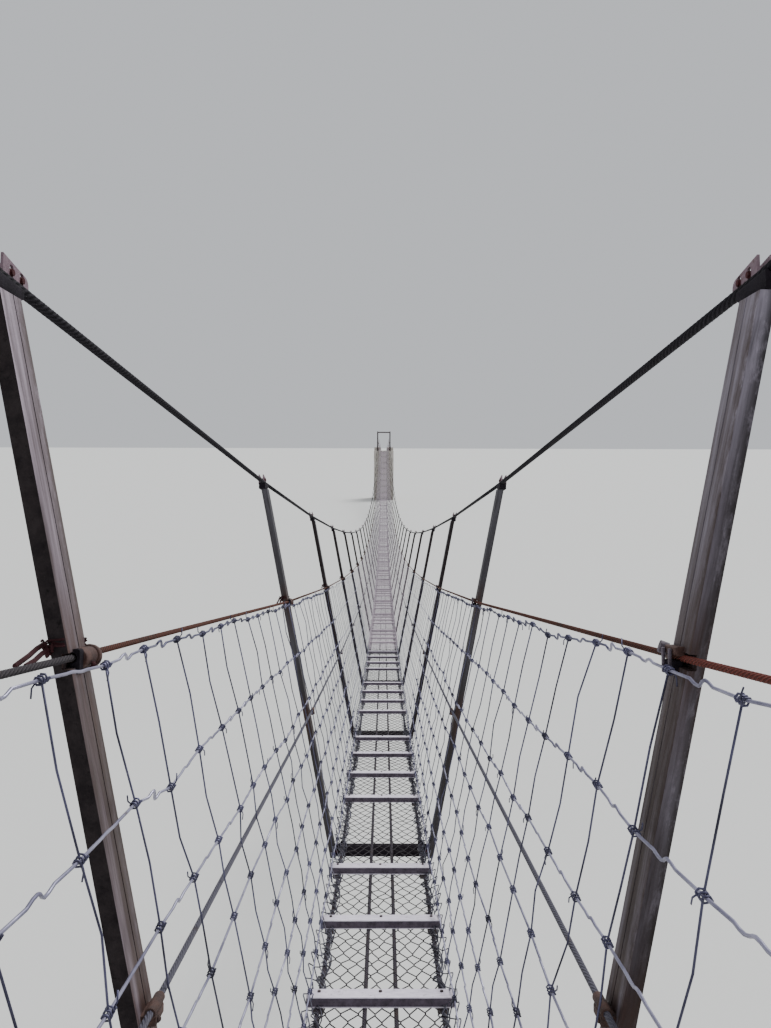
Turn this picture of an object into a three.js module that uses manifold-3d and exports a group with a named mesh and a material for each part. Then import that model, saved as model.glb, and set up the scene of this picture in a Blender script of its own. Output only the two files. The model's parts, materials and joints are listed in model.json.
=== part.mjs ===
// Rope suspension footbridge, a 1:10 scale model of an 87 m span.
// Units are millimetres of the model. +Z is up, the bridge runs along Y and the floor is at z = 0.
// V-shaped steel frames hang from two main cables. They carry the foot cables and their treads,
// and hold the handrail cables, the middle cables and the wire side nets.
// The span starts and ends at a portal tower on a concrete abutment.

import * as THREE from 'three';
import { mergeVertices } from 'three/addons/utils/BufferGeometryUtils.js';
import Module from 'manifold-3d';

const wasm = await Module();
wasm.setup();

// Driving dimensions
const bays = 29; // equal bays from tower to tower
const bayLength = 300; // spacing of the V-frames along the bridge
const sag = 400; // drop of the walkway from the towers to mid span
const deckEndHeight = 500; // top of the walkway at the towers, above the floor
const gap = 0.3; // running gap between pieces that rest on each other

const frameLean = 0.5; // share of the walkway's slope that the V-frames lean with, along the bridge

const mainHalf = 62.5; // half spacing of the main cables
const mainRise = 186.4; // main cable above the treads, along a V-frame
const towerRise = 201; // main cable above the walkway, at the towers
const mainRadius = 1.0;

const railHalf = 49.6; // half spacing of the handrail cables
const railRise = 123.7;
const railRadius = 0.6;

const midHalf = 36.7; // half spacing of the middle cables, inside the legs
const midRise = 66.6;
const midRadius = 0.6;

const footHalf = 20.4; // half spacing of the outer foot cables
const footInnerHalf = 5.1; // half spacing of the inner foot cables
const footRadius = 0.7;
const footCorner = 0.88; // centre to corner of their square section, as much metal as the round rope

const treadLength = 48.4; // across the bridge
const treadWidth = 6; // along the bridge
const treadDepth = 3.3;
const treadsPerBay = 4;
const treadPitch = 60;
const treadSetback = 44.5; // last tread of a bay, before the V-frame

const legDepth = 8; // along the bridge
const legThickness = 2.9; // across the bridge
const legFootHalf = 27.4; // centre of the leg at walkway level
const legLean = (mainHalf - legFootHalf) / mainRise;
const barHeight = 5.5; // cross bar that joins the feet of a V-frame
const barDepth = 4;
const saddleDepth = 2.4; // underside of a leg's saddle, below the middle of the main cable

const clampEnds = { saddle: -4.2, keeper: 2.8, far: 13 }; // along the cable, from the leg's centre
const railSlot = { inner: 46.4, outer: 50.6, height: 2.4 }; // open to the inner face of the leg
const midBracket = { width: 3.4, height: 2, length: 6 };

const wireSize = 0.7; // thickness of a net wire
const netTop = { x: 47.5, z: 121 };
const netBend = { x: 35.3, z: midRise };
const netFoot = { x: 22.2, z: 1 };
const netLineHeights = [netFoot.z, 37, 79, netTop.z];
const sectionEnds = [0, 5, 10, 15, 20, 25, 29]; // V-frames or towers where deck and net sections end

const postSize = 12.5;
const beamHeight = 12;
const saddleLength = 16;
const saddleWidth = 7;
const towerTop = 194; // top of the portal beam above the walkway

const abutmentHalfWidth = 100;
const abutmentLength = 365;
const abutmentLip = 15; // front face of the abutment before the tower line
const anchorHeight = 34; // cable anchor blocks on the abutment
const anchorLength = 60;
const anchorInner = 30; // clear half width between the anchor blocks
const mainAnchorRise = 22; // where the cables meet the anchor blocks
const railAnchorRise = 18;
const midAnchorRise = 14;
const midAnchorHalf = 38;

const halfSpan = (bays * bayLength) / 2;
const footDrop = treadDepth + 0.5 * footRadius; // foot cables below the tops of the treads
const barTop = -footDrop - footCorner - gap;
const abutmentFront = halfSpan - abutmentLip;
const abutmentBack = abutmentFront + abutmentLength;
const anchorFront = abutmentBack - anchorLength;

// Finishes
const galvanised = { color: 0x9c98a6, roughness: 0.55, metalness: 0.8 };
const darkSteel = { color: 0x4a4546, roughness: 0.6, metalness: 0.75 };
const wireRope = { color: 0x2e2b2d, roughness: 0.65, metalness: 0.7 };
const rustyRope = { color: 0x6b3a2c, roughness: 0.8, metalness: 0.4 };
const treadMetal = { color: 0xc4bfd0, roughness: 0.5, metalness: 0.8 };
const netWire = { color: 0xa9a8bb, roughness: 0.45, metalness: 0.85 };
const concrete = { color: 0x8d8a83, roughness: 0.95, metalness: 0 };

const bridge = new THREE.Group();
bridge.name = 'rope_suspension_footbridge';

// Helpers

// Distance along the bridge of station k, from the near tower (0) to the far tower (bays).
function stationY(k) {
  return -halfSpan + k * bayLength;
}

// Walkway height at station k, on a parabola.
function stationDeck(k) {
  const t = stationY(k) / halfSpan;
  return deckEndHeight - sag * (1 - t * t);
}

// Walkway height anywhere: straight from station to station, as the cables run.
function deckHeight(y) {
  const k = Math.min(bays - 1, Math.max(0, Math.floor((y + halfSpan) / bayLength)));
  const t = (y - stationY(k)) / bayLength;
  return stationDeck(k) + (stationDeck(k + 1) - stationDeck(k)) * t;
}

// Angle of the walkway at station k, as a turn about X.
function stationTilt(k) {
  return Math.atan2(stationDeck(k + 1) - stationDeck(k - 1), 2 * bayLength);
}

// Lean of the V-frame at station k, as a turn about X. The towers stand upright.
function stationLean(k) {
  return k === 0 || k === bays ? 0 : frameLean * stationTilt(k);
}

// Lean of the side nets anywhere along the bridge.
function leanAt(y) {
  const k = Math.min(bays - 1, Math.max(0, Math.floor((y + halfSpan) / bayLength)));
  const t = (y - stationY(k)) / bayLength;
  return stationLean(k) + (stationLean(k + 1) - stationLean(k)) * t;
}

// A point at station k, at a rise measured along its V-frame.
function stationPoint(x, rise, k) {
  const lean = stationLean(k);
  return new THREE.Vector3(x, stationY(k) - rise * Math.sin(lean), stationDeck(k) + rise * Math.cos(lean));
}

// A polyline that keeps its corners where the stations are.
class StationPath extends THREE.Curve {
  constructor(points) {
    super();
    this.points = points;
  }

  getPoint(t, target = new THREE.Vector3()) {
    const s = t * (this.points.length - 1);
    const i = Math.min(this.points.length - 2, Math.floor(s + 1e-9));
    return target.lerpVectors(this.points[i], this.points[i + 1], s - i);
  }

  getPointAt(u, target) {
    return this.getPoint(u, target);
  }

  // Every section stays upright, in the plane of X and Z.
  computeFrenetFrames(steps) {
    const stations = Array.from({ length: steps + 1 });
    return {
      tangents: stations.map(() => new THREE.Vector3(0, 1, 0)),
      normals: stations.map(() => new THREE.Vector3(-1, 0, 0)),
      binormals: stations.map(() => new THREE.Vector3(0, 0, 1)),
    };
  }
}

// A round or square section as a shape with a few sides. A turn of 0 has a corner on top of a square.
function sectionShape(radius, sides, turn = 0.5) {
  const corners = [];
  for (let i = 0; i < sides; i += 1) {
    const a = ((i + turn) / sides) * Math.PI * 2;
    corners.push(new THREE.Vector2(Math.cos(a) * radius, Math.sin(a) * radius));
  }
  return new THREE.Shape(corners);
}

// A section swept along its stations.
function sweep(points, shape) {
  return new THREE.ExtrudeGeometry(shape, {
    steps: points.length - 1,
    bevelEnabled: false,
    extrudePath: new StationPath(points),
  });
}

// An outline in X and Z, extruded along Y about y = 0.
function crossProfile(outline, length) {
  const shape = new THREE.Shape(outline.map(([x, z]) => new THREE.Vector2(x, z)));
  const solid = new THREE.ExtrudeGeometry(shape, { depth: length, bevelEnabled: false });
  solid.rotateX(Math.PI / 2);
  solid.translate(0, length / 2, 0);
  return solid;
}

// An outline in Y and Z, extruded along X about x = 0.
function sideProfile(outline, width) {
  const shape = new THREE.Shape(outline.map(([y, z]) => new THREE.Vector2(y, z)));
  const solid = new THREE.ExtrudeGeometry(shape, { depth: width, bevelEnabled: false });
  solid.rotateX(Math.PI / 2);
  solid.rotateZ(Math.PI / 2);
  solid.translate(-width / 2, 0, 0);
  return solid;
}

function block(sizeX, sizeY, sizeZ, x, y, z) {
  const solid = new THREE.BoxGeometry(sizeX, sizeY, sizeZ);
  solid.translate(x, y, z);
  return solid;
}

function toSolid(geometry) {
  const bare = geometry.clone();
  bare.deleteAttribute('normal');
  bare.deleteAttribute('uv');
  const welded = mergeVertices(bare, 1e-4);
  return new wasm.Manifold(
    new wasm.Mesh({
      numProp: 3,
      vertProperties: new Float32Array(welded.attributes.position.array),
      triVerts: new Uint32Array(welded.index.array),
    }),
  );
}

function fromSolid(solid) {
  const mesh = solid.getMesh();
  const geometry = new THREE.BufferGeometry();
  geometry.setAttribute('position', new THREE.BufferAttribute(mesh.vertProperties, 3));
  geometry.setIndex(new THREE.BufferAttribute(mesh.triVerts, 1));
  geometry.computeVertexNormals();
  return geometry;
}

// Joins the added geometries and takes the cut ones away.
function join(added, cut = []) {
  let solid = toSolid(added[0]);
  for (const geometry of added.slice(1)) {
    solid = solid.add(toSolid(geometry));
  }
  for (const geometry of cut) {
    solid = solid.subtract(toSolid(geometry));
  }
  return fromSolid(solid);
}

function addPiece(name, geometry, finish) {
  const mesh = new THREE.Mesh(geometry, new THREE.MeshStandardMaterial(finish));
  mesh.name = name;
  bridge.add(mesh);
}

// V-frames

// The clamp on a leg: a saddle under the main cable, and a keeper over and outside it, beyond the leg.
function topClamp(side, tilt) {
  const inner = mainRadius + gap;
  const under = -saddleDepth;
  const saddleOutline = [[-1.4, under], [2, under], [2, -inner], [-1.4, -inner]];
  const keeperOutline = [[inner, under], [3.3, under], [3.3, 4.8], [0.5, 4.8], [0.5, inner], [inner, inner]];
  return [[saddleOutline, clampEnds.saddle], [keeperOutline, clampEnds.keeper]].map(([outline, start]) => {
    const mirrored = side > 0 ? outline : outline.map(([x, z]) => [-x, z]).reverse();
    const length = clampEnds.far - start;
    const piece = crossProfile(mirrored, length);
    piece.translate(0, start + length / 2, 0);
    piece.rotateX(tilt);
    piece.translate(side * mainHalf, 0, mainRise);
    return piece;
  });
}

function leg(side) {
  const half = (legThickness / 2) * Math.hypot(1, legLean);
  const top = mainRise - saddleDepth + 0.3;
  const bottom = barTop - barHeight;
  const centre = (z) => legFootHalf + legLean * z;
  const outline = [
    [centre(bottom) - half, bottom],
    [centre(bottom) + half, bottom],
    [centre(top) + half, top],
    [centre(top) - half, top],
  ];
  const mirrored = side > 0 ? outline : outline.map(([x, z]) => [-x, z]).reverse();
  return crossProfile(mirrored, legDepth);
}

// The bracket on the inner face of a leg, under the middle cable.
function midBracketBlock(side, tilt) {
  const { width, length, height } = midBracket;
  const bracket = block(width, length, height, 0, 0, -midRadius - gap - height / 2);
  bracket.rotateX(tilt);
  bracket.translate(side * (midHalf + 0.7), 0, midRise);
  return bracket;
}

// The slot in a leg where the handrail cable passes through.
function railWay(side, tilt) {
  const { inner, outer, height } = railSlot;
  const way = block(outer - inner, 3 * legDepth, height, 0, 0, 0);
  way.rotateX(tilt);
  way.translate((side * (inner + outer)) / 2, 0, railRise);
  return way;
}

function footBar() {
  return block(2 * legFootHalf - 1, barDepth, barHeight, 0, 0, barTop - barHeight / 2);
}

function vFrame(k) {
  const lean = stationLean(k);
  const tilt = stationTilt(k) - lean;
  const sides = [-1, 1];
  const added = [footBar()];
  const cut = [];
  for (const side of sides) {
    added.push(leg(side), ...topClamp(side, tilt), midBracketBlock(side, tilt));
    cut.push(railWay(side, tilt));
  }
  const frame = join(added, cut);
  frame.rotateX(lean);
  frame.translate(0, stationY(k), stationDeck(k));
  return frame;
}

for (let k = 1; k < bays; k += 1) {
  addPiece(`v_frame_${String(k).padStart(2, '0')}`, vFrame(k), galvanised);
}

// Cables

// Stations of a cable over the span, from abutment to abutment.
function cablePoints(x, rise, endRise) {
  const points = [];
  for (let k = 0; k <= bays; k += 1) {
    const atTower = k === 0 || k === bays;
    points.push(stationPoint(x, atTower ? endRise : rise, k));
  }
  return points;
}

// Adds the backstays from the towers down to the anchor blocks.
function withBackstays(points, anchorX, anchorRise) {
  const end = anchorFront - gap;
  const z = deckEndHeight + anchorRise;
  return [new THREE.Vector3(anchorX, -end, z), ...points, new THREE.Vector3(anchorX, end, z)];
}

for (const [name, side] of [['left', -1], ['right', 1]]) {
  const mainLine = cablePoints(side * mainHalf, mainRise, towerRise);
  const railLine = cablePoints(side * railHalf, railRise, railRise);
  const midLine = cablePoints(side * midHalf, midRise, midRise);
  const mainPath = withBackstays(mainLine, side * mainHalf, mainAnchorRise);
  const railPath = withBackstays(railLine, side * railHalf, railAnchorRise);
  const midPath = withBackstays(midLine, side * midAnchorHalf, midAnchorRise);
  addPiece(`main_cable_${name}`, sweep(mainPath, sectionShape(mainRadius, 6)), wireRope);
  addPiece(`handrail_cable_${name}`, sweep(railPath, sectionShape(railRadius, 5)), rustyRope);
  addPiece(`middle_cable_${name}`, sweep(midPath, sectionShape(midRadius, 5)), galvanised);
}

// Deck

function tread(y) {
  const k = Math.floor((y + halfSpan) / bayLength);
  const tilt = Math.atan2(stationDeck(k + 1) - stationDeck(k), bayLength);
  const solid = block(treadLength, treadWidth, treadDepth, 0, 0, -treadDepth / 2);
  solid.rotateX(tilt);
  solid.translate(0, y, deckHeight(y));
  return solid;
}

// A foot cable under the treads of a section. It meets the next section's with a running gap,
// and ends at the front face of the abutment.
function footCable(x, from, to) {
  const points = [];
  for (let k = from; k <= to; k += 1) {
    let y = stationY(k);
    if (k === from) {
      y = k === 0 ? -abutmentFront + gap : y + gap / 2;
    }
    if (k === to) {
      y = k === bays ? abutmentFront - gap : y - gap / 2;
    }
    points.push(new THREE.Vector3(x, y, deckHeight(y) - footDrop));
  }
  return sweep(points, sectionShape(footCorner, 4, 0));
}

for (let s = 1; s < sectionEnds.length; s += 1) {
  const from = sectionEnds[s - 1];
  const to = sectionEnds[s];
  const footLines = [-footHalf, -footInnerHalf, footInnerHalf, footHalf];
  const pieces = footLines.map((x) => footCable(x, from, to));
  for (let k = from; k < to; k += 1) {
    for (let i = 0; i < treadsPerBay; i += 1) {
      pieces.push(tread(stationY(k + 1) - treadSetback - i * treadPitch));
    }
  }
  addPiece(`deck_section_${s}`, join(pieces), treadMetal);
}

// Side nets

// Distance of the net from the middle of the bridge at a height above the walkway.
function netX(rise) {
  if (rise > netBend.z) {
    return netBend.x + ((netTop.x - netBend.x) * (rise - netBend.z)) / (netTop.z - netBend.z);
  }
  return netFoot.x + ((netBend.x - netFoot.x) * (rise - netFoot.z)) / (netBend.z - netFoot.z);
}

// Ends of a net section stay clear of the next one, and of the tower posts.
function netEnd(k, inward) {
  if (k === 0 || k === bays) {
    return stationY(k) + inward * (abutmentLip + gap);
  }
  return stationY(k) + (inward * gap) / 2;
}

// Stations of a net section, with its own ends.
function netStations(from, to) {
  const stations = [];
  for (let k = from; k <= to; k += 1) {
    stations.push(Math.min(netEnd(to, -1), Math.max(netEnd(from, 1), stationY(k))));
  }
  return stations;
}

// The sheet that the windows are cut from, bent where it passes the middle cable.
function netSheet(side, stations) {
  const half = wireSize / 2;
  const rises = [netFoot.z - half, netBend.z, netTop.z + half];
  const outer = rises.map((rise) => new THREE.Vector2(-side * (netX(rise) + half), rise));
  const inner = rises.map((rise) => new THREE.Vector2(-side * (netX(rise) - half), rise));
  const points = stations.map((y) => new THREE.Vector3(0, y, deckHeight(y)));
  return sweep(points, new THREE.Shape([...outer, ...inner.reverse()]));
}

// A window between two line wires, from one stay to the next.
function netWindow(side, lower, upper, stations) {
  const half = wireSize / 2;
  const low = stations.map((y) => [y, deckHeight(y) + lower + half]);
  const high = stations.map((y) => [y, deckHeight(y) + upper - half]);
  const window = sideProfile([...low, ...high.reverse()], 18);
  window.translate((side * (netX(lower) + netX(upper))) / 2, 0, 0);
  return window;
}

// Leans a net section with the V-frames: every point shifts along by its height above the walkway.
function leanNet(geometry) {
  const places = geometry.attributes.position;
  for (let i = 0; i < places.count; i += 1) {
    const y = places.getY(i);
    const rise = places.getZ(i) - deckHeight(y);
    const lean = leanAt(y);
    places.setY(i, y - rise * Math.sin(lean));
    places.setZ(i, deckHeight(y) + rise * Math.cos(lean));
  }
  geometry.computeVertexNormals();
  return geometry;
}

// Line wires at the stated heights, and a stay at each end and in the middle of each bay.
function netSection(side, from, to) {
  const stations = netStations(from, to);
  const half = wireSize / 2;
  const stays = [stations[0] + half];
  for (let k = from; k < to; k += 1) {
    stays.push(stationY(k) + bayLength / 2);
  }
  stays.push(stations[stations.length - 1] - half);
  const windows = [];
  for (let i = 1; i < stays.length; i += 1) {
    const start = stays[i - 1] + half;
    const end = stays[i] - half;
    const corners = [start, ...stations.filter((y) => y > start && y < end), end];
    for (let n = 1; n < netLineHeights.length; n += 1) {
      windows.push(netWindow(side, netLineHeights[n - 1], netLineHeights[n], corners));
    }
  }
  return leanNet(join([netSheet(side, stations)], windows));
}

for (const [name, side] of [['left', -1], ['right', 1]]) {
  for (let s = 1; s < sectionEnds.length; s += 1) {
    addPiece(`side_net_${name}_${s}`, netSection(side, sectionEnds[s - 1], sectionEnds[s]), netWire);
  }
}

// Towers and abutments

// The saddle on a post, cut to the two slopes of the main cable.
function saddle(side) {
  const top = stationPoint(mainHalf, towerRise, bays);
  const next = stationPoint(mainHalf, mainRise, bays - 1);
  const spanSlope = (top.z - next.z) / (top.y - next.y);
  const staySlope = (towerRise - mainAnchorRise) / (anchorFront - halfSpan);
  const under = towerRise - mainRadius * 1.15 - gap;
  const half = saddleLength / 2;
  const profile = [
    [-half, towerTop - 2],
    [half, towerTop - 2],
    [half, under - half * staySlope],
    [0, under],
    [-half, under - half * spanSlope],
  ];
  const solid = sideProfile(profile, saddleWidth);
  solid.translate(side * mainHalf, 0, 0);
  return solid;
}

// Portal tower: two posts, a beam between them, and a saddle on each post.
function tower() {
  const postHeight = towerTop - gap;
  const pieces = [];
  const beamWidth = 2 * mainHalf;
  pieces.push(block(beamWidth, postSize, beamHeight, 0, 0, towerTop - beamHeight / 2));
  for (const side of [-1, 1]) {
    pieces.push(block(postSize, postSize, postHeight, side * mainHalf, 0, gap + postHeight / 2));
    pieces.push(saddle(side));
  }
  return join(pieces);
}

// Concrete abutment with an anchor block at each side of the walkway.
function abutment() {
  const centre = (abutmentFront + abutmentBack) / 2;
  const pieces = [block(2 * abutmentHalfWidth, abutmentLength, deckEndHeight, 0, centre, deckEndHeight / 2)];
  const anchorWidth = abutmentHalfWidth - anchorInner;
  for (const side of [-1, 1]) {
    const x = side * (anchorInner + anchorWidth / 2);
    const y = abutmentBack - anchorLength / 2;
    pieces.push(block(anchorWidth, anchorLength, anchorHeight + 1, x, y, deckEndHeight + anchorHeight / 2 - 0.5));
  }
  return join(pieces);
}

for (const [name, turn] of [['near', Math.PI], ['far', 0]]) {
  const portal = tower();
  portal.translate(0, halfSpan, deckEndHeight);
  portal.rotateZ(turn);
  addPiece(`${name}_tower`, portal, darkSteel);
  const base = abutment();
  base.rotateZ(turn);
  addPiece(`${name}_abutment`, base, concrete);
}

export default bridge;
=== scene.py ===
"""Rope suspension footbridge, a 1:10 model: ropes, nets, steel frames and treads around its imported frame.

Everything is in metres. The bridge runs along Y, +Z is up and the floor is at z = 0.
"""

import json
import logging
import math
from collections.abc import Callable, Iterator
from contextlib import contextmanager
from dataclasses import dataclass, field
from enum import Enum

import bmesh
import bpy
import numpy as np
from bpy.types import Material, Node, NodeSocket, NodeTree, Object
from mathutils import Matrix, Vector

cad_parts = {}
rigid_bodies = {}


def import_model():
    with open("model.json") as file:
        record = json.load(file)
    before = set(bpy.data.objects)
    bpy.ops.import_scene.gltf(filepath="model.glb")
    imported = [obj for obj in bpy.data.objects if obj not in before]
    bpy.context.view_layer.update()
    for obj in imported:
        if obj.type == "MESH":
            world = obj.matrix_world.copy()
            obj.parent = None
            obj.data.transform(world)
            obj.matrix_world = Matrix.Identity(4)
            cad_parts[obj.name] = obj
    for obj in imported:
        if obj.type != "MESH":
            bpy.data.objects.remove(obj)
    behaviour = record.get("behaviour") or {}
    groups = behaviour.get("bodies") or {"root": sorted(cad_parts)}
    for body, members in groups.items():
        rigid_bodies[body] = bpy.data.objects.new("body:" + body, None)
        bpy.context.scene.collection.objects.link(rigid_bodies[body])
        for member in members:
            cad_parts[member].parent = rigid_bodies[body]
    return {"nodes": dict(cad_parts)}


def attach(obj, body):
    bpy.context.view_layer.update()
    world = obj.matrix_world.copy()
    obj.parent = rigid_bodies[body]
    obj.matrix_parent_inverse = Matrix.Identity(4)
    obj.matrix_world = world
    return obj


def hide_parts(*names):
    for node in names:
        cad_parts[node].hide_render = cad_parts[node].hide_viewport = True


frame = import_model()

BODY = "root"
PHOTO_HEIGHT = 1028  # pixels of the photograph, 771 wide
UV_NAME = "along"
TURN = 2 * math.pi
X, Y, Z = range(3)
ACROSS = (1.0, 0.0, 0.0)
ALONG = (0.0, 1.0, 0.0)
UP = (0.0, 0.0, 1.0)
CLOSE = 0.0001  # how near counts as the same place when edges are picked
ALIGNED = 0.9  # share of a direction along an axis from which it counts as along it
MIX_COLOURS = (6, 7)  # places of a mix node's colour inputs
MIX_RESULT = 2  # and of its colour output
GAP = 0.0003  # between pieces that are seated on each other
BOLT = 0.0008  # radius of most bolt heads
FLAT_FROM = 35  # degrees between two faces from which their edge stays sharp

Point = tuple[float, float, float]
Box = tuple[Point, Point]  # lowest and highest corner
Rod = tuple[float, Point, Point, int]  # radius, both ends and number of sides
Pair = tuple[float, float]
Colour = str | NodeSocket
Paints = dict[str, Material]
Rule = Callable[[Vector, Vector], bool]
Rng = np.random.Generator
Array = np.ndarray

log = logging.getLogger("footbridge")


class Side(Enum):
    """A side of the walkway, as seen by someone who looks along +Y."""

    LEFT = -1
    RIGHT = 1

    @property
    def label(self) -> str:
        """The side's name in lower case."""
        return self.name.lower()


class Detail(Enum):
    """How finely wires are drawn, by their distance from the camera."""

    NEAR = 1
    FAR = 2


@dataclass(frozen=True)
class Span:
    """The line of the walkway: equal bays on a parabola, straight from station to station."""

    bays: int = 29
    bay: float = 0.300
    sag: float = 0.400
    end_height: float = 0.500
    section_ends: tuple[int, ...] = (0, 5, 10, 15, 20, 25, 29)
    frame_lean: float = 0.5  # share of the walkway's slope that the frames lean with
    near_bays: int = 3  # bays close to the camera, which get the finest wires
    anchor_front: float = 4.6397  # where the cables meet the anchor blocks
    bright_from: int = 2  # first section where treads, netting and nets take their far finishes: lips and wires lighter with painted sunlight

    @property
    def half(self) -> float:
        """Half the length from tower to tower."""
        return self.bays * self.bay / 2

    @property
    def stations(self) -> Array:
        """Places of the towers and frames along Y."""
        return np.linspace(-self.half, self.half, self.bays + 1)

    @property
    def near_end(self) -> float:
        """Where the finest wires end along Y."""
        return self.stations[self.near_bays]

    @property
    def levels(self) -> Array:
        """Heights of the walkway at the stations."""
        return self.end_height - self.sag * (1 - (self.stations / self.half) ** 2)

    def deck(self, y: Array | float) -> Array:
        """Height of the walkway at any place along it."""
        return np.interp(y, self.stations, self.levels)

    @property
    def tilts(self) -> Array:
        """Angles of the walkway at the frames, as turns about X; the towers stand upright."""
        angles = np.zeros(self.bays + 1)
        angles[1:-1] = np.arctan2(self.levels[2:] - self.levels[:-2], 2 * self.bay)
        return angles

    def leans(self, y: Array | float) -> Array:
        """Lean of the frames, and of the nets between them, at any place along the walkway."""
        return self.frame_lean * np.interp(y, self.stations, self.tilts)

    def sections(self) -> Iterator[tuple[int, int, int]]:
        """Gives each section's number, first station and last station."""
        for number, (first, last) in enumerate(zip(self.section_ends, self.section_ends[1:]), 1):
            yield number, first, last


@dataclass(frozen=True)
class Cable:
    """One of the three cables of a side: how it is laid and where it runs. Heights are above the walkway."""

    name: str
    slot: str
    radius: float
    lay: float  # length of one turn of a strand
    half: float  # distance from the middle of the bridge
    rise: float  # height at the frames
    tower_rise: float
    anchor_half: float
    anchor_rise: float
    socket_radius: float


SPAN = Span()
MAIN = Cable("main", "black_wire_rope", radius=0.001, lay=0.013, half=0.0625, rise=0.1864, tower_rise=0.201,
             anchor_half=0.0625, anchor_rise=0.022, socket_radius=0.0026)
HANDRAIL = Cable("handrail", "rusted_wire_rope", radius=0.0006, lay=0.0078, half=0.0496, rise=0.1237,
                 tower_rise=0.1237, anchor_half=0.0496, anchor_rise=0.018, socket_radius=0.0018)
MIDDLE = Cable("middle", "galvanised_wire_rope", radius=0.0006, lay=0.0078, half=0.0367, rise=0.0666,
               tower_rise=0.0666, anchor_half=0.038, anchor_rise=0.014, socket_radius=0.0018)


def linear(code: str) -> tuple[float, ...]:
    """Turns an sRGB hex colour into the linear values that shaders take.

    Args:
        code: Six hex digits after a hash sign.

    Returns:
        Linear red, green, blue and a full alpha.
    """
    values = [int(code[i : i + 2], 16) / 255 for i in (1, 3, 5)]
    return *(v / 12.92 if v <= 0.04045 else ((v + 0.055) / 1.055) ** 2.4 for v in values), 1.0


@dataclass(frozen=True)
class Patches:
    """Soft patches of a real size, drawn by noise."""

    size: float
    start: float  # noise value where a patch starts
    full: float  # and where it is full
    ragged: float = 0.6  # how rough its edge is, from 0 to 1


@dataclass
class Recipe:
    """A material while patterns are laid in it: its node tree, and the shader that they lead to."""

    tree: NodeTree
    shader: Node

    def add(self, kind: str, inputs: dict[str | int, object] | None = None, output: int | str = 0,
            **settings: object) -> NodeSocket:
        """Adds a node with its settings, its values and its links.

        Args:
            kind: The node's class, without the words that all of them start with.
            inputs: A value for each input, by name or place, or the socket that it is linked to.
            output: The output that is wanted.
            settings: The node's own properties.

        Returns:
            The output.
        """
        node = self.tree.nodes.new(f"ShaderNode{kind}")
        for key, value in settings.items():
            setattr(node, key, value)
        for key, value in (inputs or {}).items():
            if isinstance(value, NodeSocket):
                self.tree.links.new(value, node.inputs[key])
            else:
                node.inputs[key].default_value = value
        return node.outputs[output]

    def feed(self, name: str, socket: NodeSocket) -> None:
        """Links a pattern to one of the shader's inputs."""
        self.tree.links.new(socket, self.shader.inputs[name])

    def patches(self, place: NodeSocket, kind: Patches) -> NodeSocket:
        """Draws patches at coordinates in metres, as a factor from 0 to 1."""
        noise = self.add("TexNoise", {"Scale": 1 / kind.size, "Detail": 5.0, "Roughness": kind.ragged,
                                      "Vector": place})
        return self.add("MapRange", {"From Min": kind.start, "From Max": kind.full, "Value": noise})

    def blend(self, under: Colour, over: Colour, *masks: NodeSocket | float) -> NodeSocket:
        """Lays one colour over another where all the masks show.

        Args:
            under: A hex colour or a colour socket.
            over: A hex colour or a colour socket.
            masks: Factors from 0 to 1, which are multiplied.

        Returns:
            The mixed colour.
        """
        factor = masks[0]
        for mask in masks[1:]:
            factor = self.add("Math", {0: factor, 1: mask}, operation="MULTIPLY")
        colours = [linear(colour) if isinstance(colour, str) else colour for colour in (under, over)]
        return self.add("Mix", {0: factor, **dict(zip(MIX_COLOURS, colours))}, MIX_RESULT, data_type="RGBA")


@dataclass(frozen=True)
class Finish:
    """What every finish has: the real material's name, and how much of a metal it is to the eye."""

    name: str
    metallic: float
    roughness: float
    gloss: float = 0.5  # 0.5 is plain; grease and soot have less

    def make(self) -> Material:
        """Builds the material.

        Returns:
            The material, with its node tree finished.
        """
        material = bpy.data.materials.new(self.name)
        material.use_nodes = True
        shader = material.node_tree.nodes["Principled BSDF"]
        shader.inputs["Metallic"].default_value = self.metallic
        shader.inputs["Roughness"].default_value = self.roughness
        shader.inputs["Specular IOR Level"].default_value = self.gloss
        self.shade(Recipe(material.node_tree, shader))
        return material

    def shade(self, mix: Recipe) -> None:
        """Lays the finish's patterns; each finish has its own."""


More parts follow.
